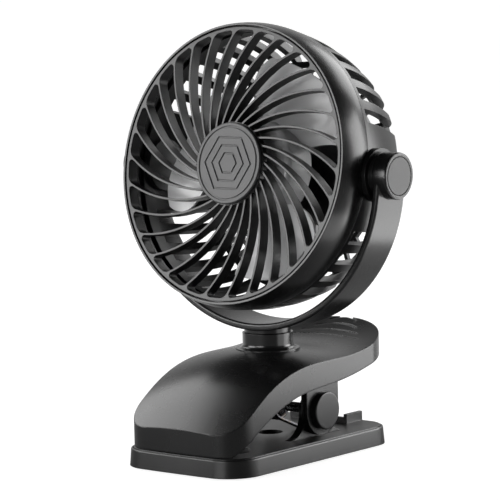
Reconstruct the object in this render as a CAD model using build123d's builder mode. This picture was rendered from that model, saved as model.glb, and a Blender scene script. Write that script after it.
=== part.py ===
from build123d import *
import os
from math import cos, degrees, radians, sin

# Clip fan: a round fan head with a swirl grille, tilting in a U-shaped yoke that swivels
# on the upper jaw of a spring clip. Millimetres, +Z up, the fan faces -Y and the tilt axis
# runs along X. The origin is on the floor under the middle of the clip's length.

# ---- fits shared by several pieces ----
SLIDE_FIT = 0.05  # radial, a shaft that turns in a bore
SEAT_FIT = 0.1  # a piece dropped into its seat
MOVING_GAP = 0.3  # faces of bodies that move past each other

# ---- clip: base ----
CLIP_LENGTH = 135.0  # front of the base to the end of the thumb handle
SHELL_WIDTH = 70.0
BASE_MARGIN = 2.85  # the base stands out past the shell on each side
HANDLE_OVERHANG = 9.9
BASE_FRONT_BULGE = 1.0
BASE_FRONT_RADIUS = 16.7
BASE_REAR_RADIUS = 15.3
BASE_DRAFT = 5.0  # degrees
BASE_WALL = 2.0
FOOT_STANDOFF = 0.6
FOOT_RADIUS = 5.0
FOOT_THICKNESS = 1.6
TRAY_TOP_Z = 9.2
TRAY_EDGE_RADIUS = 0.7
PLATE_TOP_Z = 9.7
PLATE_THICKNESS = 2.2
PLATE_EDGE_RADIUS = 0.5
PLATE_INSET = 1.5
PLATE_GROOVE = 0.35
HANG_HOLE_RADIUS = 6.35
HANG_TUBE_WALL = 1.8
BASE_SCREW_RADIUS = 1.3
BASE_SCREW_HEAD_RADIUS = 2.6
BASE_SCREW_HEAD_HEIGHT = 1.5
BASE_SCREW_LENGTH = 6.5
BASE_POST_RADIUS = 3.2
CORNER_INSET = 12.85
CORNER_SPACING_Y = 92.0
CORNER_CENTRE_Y = -4.0
BRACKET_X = 18.0
BRACKET_Y = 42.6
BRACKET_LENGTH = 12.7
BRACKET_WIDTH = 8.5
BRACKET_WALL = 1.9
BRACKET_HEIGHT = 4.6
BRACKET_CROSS_HEIGHT = 2.9

# ---- clip: hinge ----
HINGE_Y = 9.2
HINGE_Z = 22.5
PIN_RADIUS = 2.5
EAR_INSET = 13.6  # the lower ear's inner face, from the shell's side
LOWER_EAR_THICKNESS = 4.2
LOWER_EAR_RADIUS = 8.5
LOWER_EAR_FOOT = 20.0  # half the length of the flared foot
LOWER_EAR_FLARE = 10.6
UPPER_EAR_THICKNESS = 3.6
UPPER_EAR_RADIUS = 12.2
HINGE_CAP_RADIUS = 9.2
HINGE_CAP_THICKNESS = 3.2
SPRING_RADIUS = 6.4  # middle of the wire
SPRING_WIRE = 2.0
SPRING_PITCH = 2.6
SPRING_FULL_TURNS = 3
SPRING_UPPER_LEG = 28.2
SPRING_UPPER_ANGLE = 45.0  # degrees above the floor, to the rear
SPRING_LOWER_LEG = 18.2
SPRING_LOWER_ANGLE = 18.0  # degrees below, to the rear
PAD_MARGIN = 12.0
PAD_LENGTH = 10.0
PAD_CORNER = 1.5
PAD_THICKNESS = 1.2
PAD_CENTRE_FROM_FRONT = 10.5
PAD_GAP = 0.1
JAW_Z = 10.0  # where the two pads meet

# ---- clip: shell of the upper jaw ----
SHELL_FRONT_SETBACK = 1.5
SHELL_FRONT_RADIUS = 15.0
SHELL_BOTTOM_Z = 10.1
SHELL_WALL = 2.2
SHELL_TOP_WALL = 2.4
HANDLE_ROUND_LENGTH = 26.7
NOSE_FLOOR_LENGTH = 14.0
NOSE_FLOOR_Z = 11.9
NOSE_FLOOR_THICKNESS = 2.0
SHELL_CREASE_Z = 47.3  # height of the top's edge where the collar stands
# stations along Y: distance from the swivel, rise of the edge over SHELL_CREASE_Z, crown
SHELL_STATIONS = (
    (-77.0, -34.4, 3.0),
    (-54.0, -17.0, 5.0),
    (-26.0, -3.1, 5.4),
    (0.0, 0.0, 4.6),
    (26.0, 1.2, 1.6),
    (46.0, 6.3, -1.2),
    (66.0, 15.2, -2.0),
)
# lower edge of the side skirt: where it starts to rise, then points with their drop under the crease
SKIRT_START_Y = -65.5
SKIRT_POINTS = ((-44.5, 23.3), (-20.0, 14.2), (12.0, 10.8), (36.8, 6.2), (66.0, -4.2))
GROOVE_WIDTH = 1.1
GROOVE_DEPTH = 0.7
GROOVE_FIRST_Y = 43.0  # from the swivel
GROOVE_PITCH = 5.7
GROOVE_COUNT = 4
GROOVE_HALF_LENGTH = 22.0
GROOVE_SHORTENING = 4.7
GROOVE_BOW = 3.2

# ---- swivel ----
SWIVEL_Y = 4.2
COLLAR_RADIUS = 12.4
COLLAR_HEIGHT = 9.0
COLLAR_SEAT_RISE = 3.3  # over the crease
COLLAR_FLANGE_RADIUS = 15.6
COLLAR_FLANGE_HEIGHT = 1.3
COLLAR_FOOT_RADIUS = 2.2
STEM_RADIUS = 7.0
STEM_DROP = 3.4  # under the crease
NECK_RADIUS = 11.4
SWIVEL_WASHER_RADIUS = 9.5
SWIVEL_WASHER_THICKNESS = 1.2
SWIVEL_SCREW_RADIUS = 2.0
SWIVEL_SCREW_HEAD_RADIUS = 3.6
SWIVEL_SCREW_HEAD_HEIGHT = 2.2
SWIVEL_SCREW_LENGTH = 12.0
SWIVEL_BOSS_RADIUS = 11.0

# ---- yoke ----
NECK_HEIGHT = 1.9
YOKE_GAP = 5.1  # between the head's side and the yoke
YOKE_THICKNESS = 3.4
YOKE_FOOT_WIDTH = 25.4
YOKE_TOP_WIDTH = 21.4
YOKE_EDGE_RADIUS = 1.0
KNOB_RADIUS = 11.2
KNOB_LENGTH = 7.9
KNOB_EDGE_RADIUS = 0.8
CAP_RADIUS = 8.9
CAP_GROOVE = 0.4
CAP_GROOVE_DEPTH = 1.5
CAP_THICKNESS = 2.9
PIVOT_SCREW_RADIUS = 1.5
PIVOT_SCREW_HEAD_RADIUS = 3.0
PIVOT_SCREW_HEAD_HEIGHT = 1.4
PIVOT_SCREW_GRIP = 9.0  # depth in the head's boss
PIVOT_WASHER_RADIUS = 8.0
PIVOT_WASHER_THICKNESS = 0.5

# ---- head: distances marked L run forward along the fan's axis from the tilt axis ----
HEAD_TILT = 11.2  # degrees, face turned up
FACE_L = 25.7
GRILLE_RADIUS = 66.2
GRILLE_RIM_WIDTH = 1.4
GRILLE_DEPTH = 6.0
VANE_COUNT = 30
VANE_WIDTH = 1.2
VANE_PHASE = -1.6  # degrees
VANE_TURN_MID = 15.6  # degrees that a vane has turned halfway in from the rim
VANE_TURN_HUB = 41.3
VANE_RIM_FILLETS = (1.6, 5.0)  # at the sharp corner and at the blunt one
GRILLE_HUB_RADIUS = 20.2
GRILLE_HUB_THICKNESS = 3.0
BADGE_RADIUS = 19.8
BADGE_THICKNESS = 2.0
BADGE_GROOVE_DEPTH = 0.5
BADGE_GROOVE_WIDTH = 0.85
BADGE_RING_RADIUS = 18.0
BADGE_MOTIF_RADII = (14.6, 10.2, 5.8)
RING_CLEARANCE = 0.8  # round the grille
RING_WALL = 2.1
RING_FRONT_L = 26.0
RING_FRONT_INSET = 1.1
RING_MID_L = 17.0
RING_MID_BULGE = 0.4
RING_BACK_L = 8.0
RING_LEDGE_WIDTH = 1.3
RING_LEDGE_THICKNESS = 1.6
# the guard's bowl draws in from the ring's back edge
GUARD_WAIST_L = -12.0
GUARD_WAIST_INSET = 2.8
GUARD_SHOULDER_L = -23.8
GUARD_SHOULDER_INSET = 6.5
GUARD_REAR_L = -31.0
GUARD_REAR_INSET = 13.6
GUARD_WALL = 3.6
GUARD_PLATE = 2.5
GUARD_SPIGOT = 5.0
SLOT_PITCH = 10.0  # degrees
SLOTS_PER_SIDE = 14
SLOT_FIRST_ANGLE = 23.5  # degrees past a pivot; the wall stays closed round the pivots
SLOT_WIDTH = 7.0
SLOT_FRONT_L = 5.6
SLOT_RUN_IN = 1.0  # how far the slots leave the edge of the flat rear standing
WINDOW_MARGIN = 1.5
WINDOW_RIB = 1.8
WINDOW_TURN = 17.0
WINDOW_RING_INSETS = (8.5, 17.5)
WINDOW_RING_WIDTH = 2.0
POD_RADIUS = 27.0
PIVOT_BOSS_RADIUS = 12.8
PIVOT_BOSS_STEP = 2.1
PIVOT_BOSS_TIP_RADIUS = 10.4
PIVOT_BOSS_PROUD = 4.5
PIVOT_BOSS_ROOT = 6.6

# ---- impeller and motor ----
HUB_RADIUS = 25.5
HUB_FRONT_L = 12.6
HUB_LENGTH = 17.6
HUB_WALL = 1.8
HUB_EDGE_RADIUS = 2.8
HUB_BORE_BOSS = 3.6
BLADE_COUNT = 3
BLADE_THICKNESS = 1.4
BLADE_TIP_CLEARANCE = 13.2
BLADE_PHASE = 50.0  # degrees, where a blade's middle stands
# a blade seen from the front, over its tip radius: corners of the leading and of the trailing edge
BLADE_LEADING = ((0.18, 0.40), (0.37, 0.47), (0.52, 0.57), (0.57, 0.70), (0.545, 0.84))
BLADE_TRAILING = ((-0.20, 0.42), (-0.33, 0.60), (-0.42, 0.68), (-0.51, 0.75), (-0.58, 0.86))
# its surface rises in a wave: distance out over the tip radius, then the ends of the wave along and up
BLADE_WAVES = (
    (0.38, (-12.0, -4.0), (6.0, 10.5)),
    (0.60, (-13.0, -3.2), (14.0, 10.0)),
    (0.82, (-14.0, -3.8), (22.0, 8.6)),
    (1.02, (-14.0, -4.5), (28.0, 8.0)),
)
SHAFT_RADIUS = 1.5
SHAFT_FRONT_L = 11.0
MOTOR_RADIUS = 11.0
MOTOR_FRONT_L = -4.0
MOTOR_EDGE_RADIUS = 1.2
MOTOR_BORE_RADIUS = 2.2
BUSH_RADIUS = 3.2
BUSH_LENGTH = 3.0
CUP_WALL = 2.0
CUP_LENGTH = 13.0

# ---- rear pod ----
POD_DEPTH = 12.0
POD_WALL = 2.0
POD_EDGE_RADIUS = 3.0
POST_CIRCLE_RADIUS = 20.0
POST_RADIUS = 3.0
POST_ANGLES = (90.0, 210.0, 330.0)
REAR_SCREW_RADIUS = 1.0
REAR_SCREW_HEAD_RADIUS = 1.9
REAR_SCREW_HEAD_HEIGHT = 1.2
REAR_SCREW_LENGTH = 7.0
BOARD_RADIUS = 22.5
BOARD_THICKNESS = 1.2
BOARD_FROM_COVER = 1.8
BOARD_LEDGE = 1.5
DOME_RADIUS = 2.5
DOME_HEIGHT = 0.3
CELL_SIZE = (26.0, 22.0, 5.0)
CELL_EDGE_RADIUS = 1.5
BUTTON_RADIUS = 5.5
BUTTON_PROUD = 1.1
BUTTON_FLANGE_RADIUS = 7.0
BUTTON_FLANGE_THICKNESS = 0.8
BUTTON_TRAVEL = 0.6
PORT_SIZE = (9.0, 3.2)
PORT_DEPTH = 7.4
PORT_WALL = 0.35
LENS_RADIUS = 1.3
LENS_OFFSET = 12.0
LENS_LENGTH = 3.4

# ---- worked out ----
FRONT_Y = -CLIP_LENGTH / 2
HANDLE_END_Y = CLIP_LENGTH / 2
BASE_REAR_Y = HANDLE_END_Y - HANDLE_OVERHANG
BASE_WIDTH = SHELL_WIDTH + 2 * BASE_MARGIN
CORNER_SPACING_X = BASE_WIDTH - 2 * CORNER_INSET
PAD_WIDTH = SHELL_WIDTH - 2 * PAD_MARGIN
PAD_Y = FRONT_Y + PAD_CENTRE_FROM_FRONT
LOWER_EAR_INNER_X = SHELL_WIDTH / 2 - EAR_INSET
UPPER_EAR_INNER_X = LOWER_EAR_INNER_X + LOWER_EAR_THICKNESS + MOVING_GAP
UPPER_EAR_OUTER_X = UPPER_EAR_INNER_X + UPPER_EAR_THICKNESS
COLLAR_SEAT_Z = SHELL_CREASE_Z + COLLAR_SEAT_RISE
COLLAR_TOP_Z = COLLAR_SEAT_Z + COLLAR_HEIGHT
STEM_BOTTOM_Z = SHELL_CREASE_Z - STEM_DROP
GRILLE_OPEN_RADIUS = GRILLE_RADIUS - GRILLE_RIM_WIDTH
RING_INNER_RADIUS = GRILLE_RADIUS + RING_CLEARANCE
RING_BACK_RADIUS = RING_INNER_RADIUS + RING_WALL
RING_FRONT_RADIUS = RING_BACK_RADIUS - RING_FRONT_INSET
RING_MID_RADIUS = RING_BACK_RADIUS + RING_MID_BULGE
GUARD_WAIST_RADIUS = RING_BACK_RADIUS - GUARD_WAIST_INSET
GUARD_SHOULDER_RADIUS = RING_BACK_RADIUS - GUARD_SHOULDER_INSET
GUARD_REAR_RADIUS = RING_BACK_RADIUS - GUARD_REAR_INSET
SLOT_FLOOR_RADIUS = GUARD_REAR_RADIUS + SLOT_RUN_IN
WINDOW_OUTER_RADIUS = GUARD_REAR_RADIUS - WINDOW_MARGIN
PIVOT_BOSS_INNER_X = RING_BACK_RADIUS - PIVOT_BOSS_ROOT
PIVOT_BOSS_END_X = RING_BACK_RADIUS + PIVOT_BOSS_PROUD
YOKE_INNER_RADIUS = RING_BACK_RADIUS + YOKE_GAP
YOKE_OUTER_RADIUS = YOKE_INNER_RADIUS + YOKE_THICKNESS
PIVOT_Z = COLLAR_TOP_Z + NECK_HEIGHT + YOKE_OUTER_RADIUS
KNOB_INNER_X = PIVOT_BOSS_END_X + PIVOT_WASHER_THICKNESS + SEAT_FIT
KNOB_FACE_X = KNOB_INNER_X + KNOB_LENGTH
CAP_FLOOR_X = KNOB_FACE_X - CAP_THICKNESS
SCREW_SEAT_X = CAP_FLOOR_X - PIVOT_SCREW_HEAD_HEIGHT - SEAT_FIT
POD_REAR_L = GUARD_REAR_L - POD_DEPTH
POD_INNER_L = POD_REAR_L + POD_WALL
BOARD_BACK_L = POD_INNER_L + BOARD_FROM_COVER
BOARD_FRONT_L = BOARD_BACK_L + BOARD_THICKNESS
PORT_L = BOARD_FRONT_L + PORT_SIZE[1] / 2
PLATE_INNER_L = GUARD_REAR_L + GUARD_PLATE
MOTOR_LENGTH = MOTOR_FRONT_L - PLATE_INNER_L
MOTOR_REAR_L = PLATE_INNER_L
BLADE_TIP_RADIUS = RING_INNER_RADIUS - BLADE_TIP_CLEARANCE
HUB_REAR_L = HUB_FRONT_L - HUB_LENGTH
STATION_REACH = SHELL_WIDTH / 2 + 1.0

# ---- planes ----
head = Plane(
    origin=(0, SWIVEL_Y, PIVOT_Z),
    x_dir=(1, 0, 0),
    z_dir=(0, -cos(radians(HEAD_TILT)), sin(radians(HEAD_TILT))),
)
head_axis = Axis(head.origin, head.z_dir)
# radius runs along local X and the fan's axis along local Y
head_section = Plane(origin=head.origin, x_dir=head.x_dir, z_dir=head.y_dir * -1)
swivel_axis = Axis((0, SWIVEL_Y, 0), (0, 0, 1))
swivel_section = Plane(origin=(0, SWIVEL_Y, 0), x_dir=(1, 0, 0), z_dir=(0, -1, 0))
SIDES = {"left": -1, "right": 1}

os.makedirs("parts", exist_ok=True)


def polar(radius, angle):
    """Point at a radius and an angle in degrees."""
    return (radius * cos(radians(angle)), radius * sin(radians(angle)))


def swivel_floor(height):
    """Horizontal plane on the swivel's axis."""
    return Plane(origin=(0, SWIVEL_Y, height))


def tilt_plane(side, distance):
    """Plane across the tilt axis, facing outward on one side."""
    return Plane(origin=(side * distance, SWIVEL_Y, PIVOT_Z), x_dir=(0, side, 0), z_dir=(side, 0, 0))


def hinge_plane(side, distance):
    """Plane across the clip's hinge, facing outward on one side."""
    return Plane(origin=(side * distance, HINGE_Y, HINGE_Z), x_dir=(0, side, 0), z_dir=(side, 0, 0))


def base_outline(inset):
    """Outline of the base, drawn in by an inset: rounded corners and a slightly bowed front."""
    half = BASE_WIDTH / 2 - inset
    front = FRONT_Y + BASE_FRONT_BULGE + inset
    rear = BASE_REAR_Y - inset
    with BuildSketch() as outline:
        with BuildLine():
            ThreePointArc((-half, front), (0, front - BASE_FRONT_BULGE), (half, front))
            Polyline((half, front), (half, rear), (-half, rear), (-half, front))
        make_face()
        fillet(outline.vertices().group_by(Axis.Y)[0], BASE_FRONT_RADIUS - inset)
        fillet(outline.vertices().group_by(Axis.Y)[-1], BASE_REAR_RADIUS - inset)
    return outline.sketch


def shell_outline(inset):
    """Outline of the clip's shell from above: square-shouldered nose, half-ellipse handle."""
    half = SHELL_WIDTH / 2 - inset
    front = FRONT_Y + SHELL_FRONT_SETBACK + BASE_FRONT_BULGE + inset
    round_start = HANDLE_END_Y - HANDLE_ROUND_LENGTH
    with BuildSketch() as outline:
        with BuildLine():
            ThreePointArc((-half, front), (0, front - BASE_FRONT_BULGE), (half, front))
            Line((half, front), (half, round_start))
            EllipticalCenterArc((0, round_start), half, HANDLE_ROUND_LENGTH - inset, arc_size=180)
            Line((-half, round_start), (-half, front))
        make_face()
        fillet(outline.vertices().group_by(Axis.Y)[0], SHELL_FRONT_RADIUS - inset)
    return outline.sketch


def shell_block(lowering):
    """Solid under the clip's crowned top, with the top lowered by a wall's thickness."""
    sections = []
    for along, rise, crown in SHELL_STATIONS:
        edge = SHELL_CREASE_Z + rise - lowering
        with BuildSketch(Plane.XZ.offset(-SWIVEL_Y - along)) as section:
            with BuildLine():
                ThreePointArc((-STATION_REACH, edge), (0, edge + crown), (STATION_REACH, edge))
                Polyline(
                    (STATION_REACH, edge), (STATION_REACH, 0), (-STATION_REACH, 0), (-STATION_REACH, edge)
                )
            make_face()
        sections.append(section.sketch)
    with BuildPart() as block:
        loft(sections)
    return block.part


def swirl_opening(inner, outer, pitch, rib, turn_hub, turn_mid=None, rim_fillets=()):
    """Opening between two ribs that turn as they run in from the rim to the hub, straight or curved."""
    middle = (inner + outer) / 2
    near = [polar(r, turn + degrees(rib / 2 / r)) for r, turn in ((outer, 0), (inner, turn_hub))]
    far = [polar(r, turn + pitch - degrees(rib / 2 / r)) for r, turn in ((outer, 0), (inner, turn_hub))]
    with BuildSketch() as opening:
        with BuildLine():
            if turn_mid is None:
                Line(*near)
                Line(*far)
            else:
                half_rib = degrees(rib / 2 / middle)
                ThreePointArc(near[0], polar(middle, turn_mid + half_rib), near[1])
                ThreePointArc(far[0], polar(middle, turn_mid + pitch - half_rib), far[1])
            ThreePointArc(near[1], polar(inner, turn_hub + pitch / 2), far[1])
            ThreePointArc(far[0], polar(outer, pitch / 2), near[0])
        make_face()
        for corner, radius in zip((near[0], far[0]), rim_fillets):
            fillet(opening.vertices().sort_by_distance((*corner, 0))[0], radius)
    return opening.sketch


# ======== base ========

with BuildPart() as base_tray:
    with BuildSketch(Plane.XY.offset(FOOT_STANDOFF)):
        add(base_outline(0))
    extrude(amount=TRAY_TOP_Z - FOOT_STANDOFF, taper=BASE_DRAFT)
    fillet(base_tray.faces().sort_by(Axis.Z)[-1].edges(), TRAY_EDGE_RADIUS)
    with BuildSketch(Plane.XY.offset(PLATE_TOP_Z - PLATE_THICKNESS)):
        add(base_outline(PLATE_INSET))
    extrude(amount=PLATE_THICKNESS, mode=Mode.SUBTRACT)
    with BuildSketch(Plane.XY.offset(FOOT_STANDOFF + BASE_WALL)):
        add(base_outline(PLATE_INSET + BASE_WALL))
    extrude(amount=TRAY_TOP_Z, mode=Mode.SUBTRACT)
    with BuildSketch(Plane.XY.offset(FOOT_STANDOFF)):
        with Locations((0, CORNER_CENTRE_Y)):
            with GridLocations(CORNER_SPACING_X, CORNER_SPACING_Y, 2, 2):
                Circle(BASE_POST_RADIUS + BASE_WALL)
        with Locations((0, SWIVEL_Y)):
            Circle(HANG_HOLE_RADIUS + HANG_TUBE_WALL + BASE_WALL)
    extrude(amount=BASE_WALL + BASE_SCREW_HEAD_HEIGHT)
    with BuildSketch(Plane.XY.offset(FOOT_STANDOFF)):
        with Locations((0, SWIVEL_Y)):
            Circle(HANG_HOLE_RADIUS + HANG_TUBE_WALL + SEAT_FIT)
    extrude(amount=TRAY_TOP_Z, mode=Mode.SUBTRACT)
    # recess for each foot, then the screw's head and shank above it
    with Locations((0, CORNER_CENTRE_Y, FOOT_STANDOFF)):
        with GridLocations(CORNER_SPACING_X, CORNER_SPACING_Y, 2, 2):
            Cylinder(
                FOOT_RADIUS,
                FOOT_THICKNESS - FOOT_STANDOFF,
                align=(Align.CENTER, Align.CENTER, Align.MIN),
                mode=Mode.SUBTRACT,
            )
            Cylinder(
                BASE_SCREW_HEAD_RADIUS,
                FOOT_THICKNESS - FOOT_STANDOFF + BASE_SCREW_HEAD_HEIGHT,
                align=(Align.CENTER, Align.CENTER, Align.MIN),
                mode=Mode.SUBTRACT,
            )
            Cylinder(
                BASE_SCREW_RADIUS,
                TRAY_TOP_Z,
                align=(Align.CENTER, Align.CENTER, Align.MIN),
                mode=Mode.SUBTRACT,
            )
base_tray.part.label = "base_tray"
export_step(base_tray.part, "parts/base_tray.step")

# where the screw's head ends and the plate's posts stand
SCREW_HEAD_TOP_Z = FOOT_THICKNESS + BASE_SCREW_HEAD_HEIGHT
TRAY_BOSS_TOP_Z = FOOT_STANDOFF + BASE_WALL + BASE_SCREW_HEAD_HEIGHT
PLATE_UNDER_Z = PLATE_TOP_Z - PLATE_THICKNESS

with BuildPart() as base_plate:
    with BuildSketch(Plane.XY.offset(PLATE_UNDER_Z)):
        add(base_outline(PLATE_INSET + PLATE_GROOVE))
    extrude(amount=PLATE_THICKNESS)
    fillet(base_plate.faces().sort_by(Axis.Z)[-1].edges(), PLATE_EDGE_RADIUS)
    with BuildSketch(Plane.XY.offset(FOOT_STANDOFF)):
        with Locations((0, SWIVEL_Y)):
            Circle(HANG_HOLE_RADIUS + HANG_TUBE_WALL)
    extrude(amount=PLATE_UNDER_Z - FOOT_STANDOFF)
    with BuildSketch(Plane.XY.offset(TRAY_BOSS_TOP_Z)):
        with Locations((0, CORNER_CENTRE_Y)):
            with GridLocations(CORNER_SPACING_X, CORNER_SPACING_Y, 2, 2):
                Circle(BASE_POST_RADIUS)
    extrude(amount=PLATE_UNDER_Z - TRAY_BOSS_TOP_Z)
    # bracket at the rear: two low angled ribs
    for side in SIDES.values():
        with BuildSketch(Plane.XY.offset(PLATE_UNDER_Z)):
            with Locations((side * (BRACKET_X - BRACKET_WALL / 2), BRACKET_Y + BRACKET_LENGTH / 2)):
                Rectangle(BRACKET_WALL, BRACKET_LENGTH)
        extrude(amount=PLATE_THICKNESS + BRACKET_HEIGHT)
        with BuildSketch(Plane.XY.offset(PLATE_UNDER_Z)):
            with Locations((side * (BRACKET_X - BRACKET_WIDTH / 2), BRACKET_Y + BRACKET_WALL / 2)):
                Rectangle(BRACKET_WIDTH, BRACKET_WALL)
        extrude(amount=PLATE_THICKNESS + BRACKET_CROSS_HEIGHT)
    # hanging hole, right through, under the swivel
    with BuildSketch(Plane.XY.offset(FOOT_STANDOFF)):
        with Locations((0, SWIVEL_Y)):
            Circle(HANG_HOLE_RADIUS)
    extrude(amount=PLATE_TOP_Z, mode=Mode.SUBTRACT)
    with BuildSketch(Plane.XY.offset(PLATE_TOP_Z - PAD_THICKNESS)):
        with Locations((0, PAD_Y)):
            RectangleRounded(PAD_WIDTH, PAD_LENGTH, PAD_CORNER)
    extrude(amount=PAD_THICKNESS, mode=Mode.SUBTRACT)
    with BuildSketch(Plane.XY.offset(TRAY_BOSS_TOP_Z)):
        with Locations((0, CORNER_CENTRE_Y)):
            with GridLocations(CORNER_SPACING_X, CORNER_SPACING_Y, 2, 2):
                Circle(BASE_SCREW_RADIUS)
    extrude(amount=SCREW_HEAD_TOP_Z + BASE_SCREW_LENGTH - TRAY_BOSS_TOP_Z, mode=Mode.SUBTRACT)
base_plate.part.label = "base_plate"
export_step(base_plate.part, "parts/base_plate.step")

# lower hinge ears: a round eye on a foot that flares out in two hollow curves
EAR_FOOT_DROP = PLATE_TOP_Z - HINGE_Z
EAR_WAIST_DROP = EAR_FOOT_DROP / 1.7
for name, side in SIDES.items():
    with BuildPart() as hinge_ear:
        with BuildSketch(hinge_plane(side, LOWER_EAR_INNER_X)):
            with BuildLine():
                ThreePointArc(
                    (-LOWER_EAR_FOOT, EAR_FOOT_DROP), (-LOWER_EAR_FLARE, EAR_WAIST_DROP), (-LOWER_EAR_RADIUS, 0)
                )
                ThreePointArc((-LOWER_EAR_RADIUS, 0), (0, LOWER_EAR_RADIUS), (LOWER_EAR_RADIUS, 0))
                ThreePointArc(
                    (LOWER_EAR_RADIUS, 0), (LOWER_EAR_FLARE, EAR_WAIST_DROP), (LOWER_EAR_FOOT, EAR_FOOT_DROP)
                )
                Line((LOWER_EAR_FOOT, EAR_FOOT_DROP), (-LOWER_EAR_FOOT, EAR_FOOT_DROP))
            make_face()
            Circle(PIN_RADIUS + SLIDE_FIT, mode=Mode.SUBTRACT)
        extrude(amount=LOWER_EAR_THICKNESS)
    hinge_ear.part.label = f"hinge_ear_{name}"
    export_step(hinge_ear.part, f"parts/hinge_ear_{name}.step")

with BuildPart() as base_screws:
    with Locations((0, CORNER_CENTRE_Y, FOOT_THICKNESS)):
        with GridLocations(CORNER_SPACING_X, CORNER_SPACING_Y, 2, 2):
            Cylinder(
                BASE_SCREW_HEAD_RADIUS,
                BASE_SCREW_HEAD_HEIGHT,
                align=(Align.CENTER, Align.CENTER, Align.MIN),
            )
            Cylinder(
                BASE_SCREW_RADIUS,
                BASE_SCREW_HEAD_HEIGHT + BASE_SCREW_LENGTH,
                align=(Align.CENTER, Align.CENTER, Align.MIN),
            )
base_screws.part.label = "base_screws"
export_step(base_screws.part, "parts/base_screws.step")

with BuildPart() as rubber_feet:
    with Locations((0, CORNER_CENTRE_Y)):
        with GridLocations(CORNER_SPACING_X, CORNER_SPACING_Y, 2, 2):
            Cylinder(FOOT_RADIUS, FOOT_THICKNESS, align=(Align.CENTER, Align.CENTER, Align.MIN))
    chamfer(rubber_feet.edges().group_by(Axis.Z)[0], FOOT_STANDOFF / 2)
rubber_feet.part.label = "rubber_feet"
export_step(rubber_feet.part, "parts/rubber_feet.step")

with BuildPart() as lower_jaw_pad:
    with BuildSketch(Plane.XY.offset(PLATE_TOP_Z - PAD_THICKNESS)):
        with Locations((0, PAD_Y)):
            RectangleRounded(PAD_WIDTH, PAD_LENGTH, PAD_CORNER)
    extrude(amount=JAW_Z - PAD_GAP / 2 - PLATE_TOP_Z + PAD_THICKNESS)
lower_jaw_pad.part.label = "lower_jaw_pad"
export_step(lower_jaw_pad.part, "parts/lower_jaw_pad.step")

# torsion spring: a close coil round the pin; one leg bears on the plate, the other under the handle
SPRING_TURNS = SPRING_FULL_TURNS + (180 - SPRING_UPPER_ANGLE - SPRING_LOWER_ANGLE) / 360
SPRING_LENGTH = SPRING_PITCH * SPRING_TURNS
spring_start = radians(90 + SPRING_UPPER_ANGLE)
spring_seat = Plane(
    origin=(-SPRING_LENGTH / 2, HINGE_Y, HINGE_Z),
    x_dir=(0, cos(spring_start), sin(spring_start)),
    z_dir=(1, 0, 0),
)
with BuildPart() as spring:
    with BuildLine() as wire_path:
        Helix(SPRING_PITCH, SPRING_LENGTH, SPRING_RADIUS)
    coil = wire_path.line
    upper_end = Plane(origin=coil @ 0, z_dir=(coil % 0) * -1)
    lower_end = Plane(origin=coil @ 1, z_dir=coil % 1)
    with BuildSketch(upper_end):
        Circle(SPRING_WIRE / 2)
    sweep(path=coil, is_frenet=True)
    for leg_plane, length in ((upper_end, SPRING_UPPER_LEG), (lower_end, SPRING_LOWER_LEG)):
        with BuildSketch(leg_plane):
            Circle(SPRING_WIRE / 2)
        extrude(amount=length)
with BuildPart(spring_seat) as clamp_spring:
    add(spring.part)
clamp_spring.part.label = "clamp_spring"
export_step(clamp_spring.part, "parts/clamp_spring.step")

# ======== upper jaw ========

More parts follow.
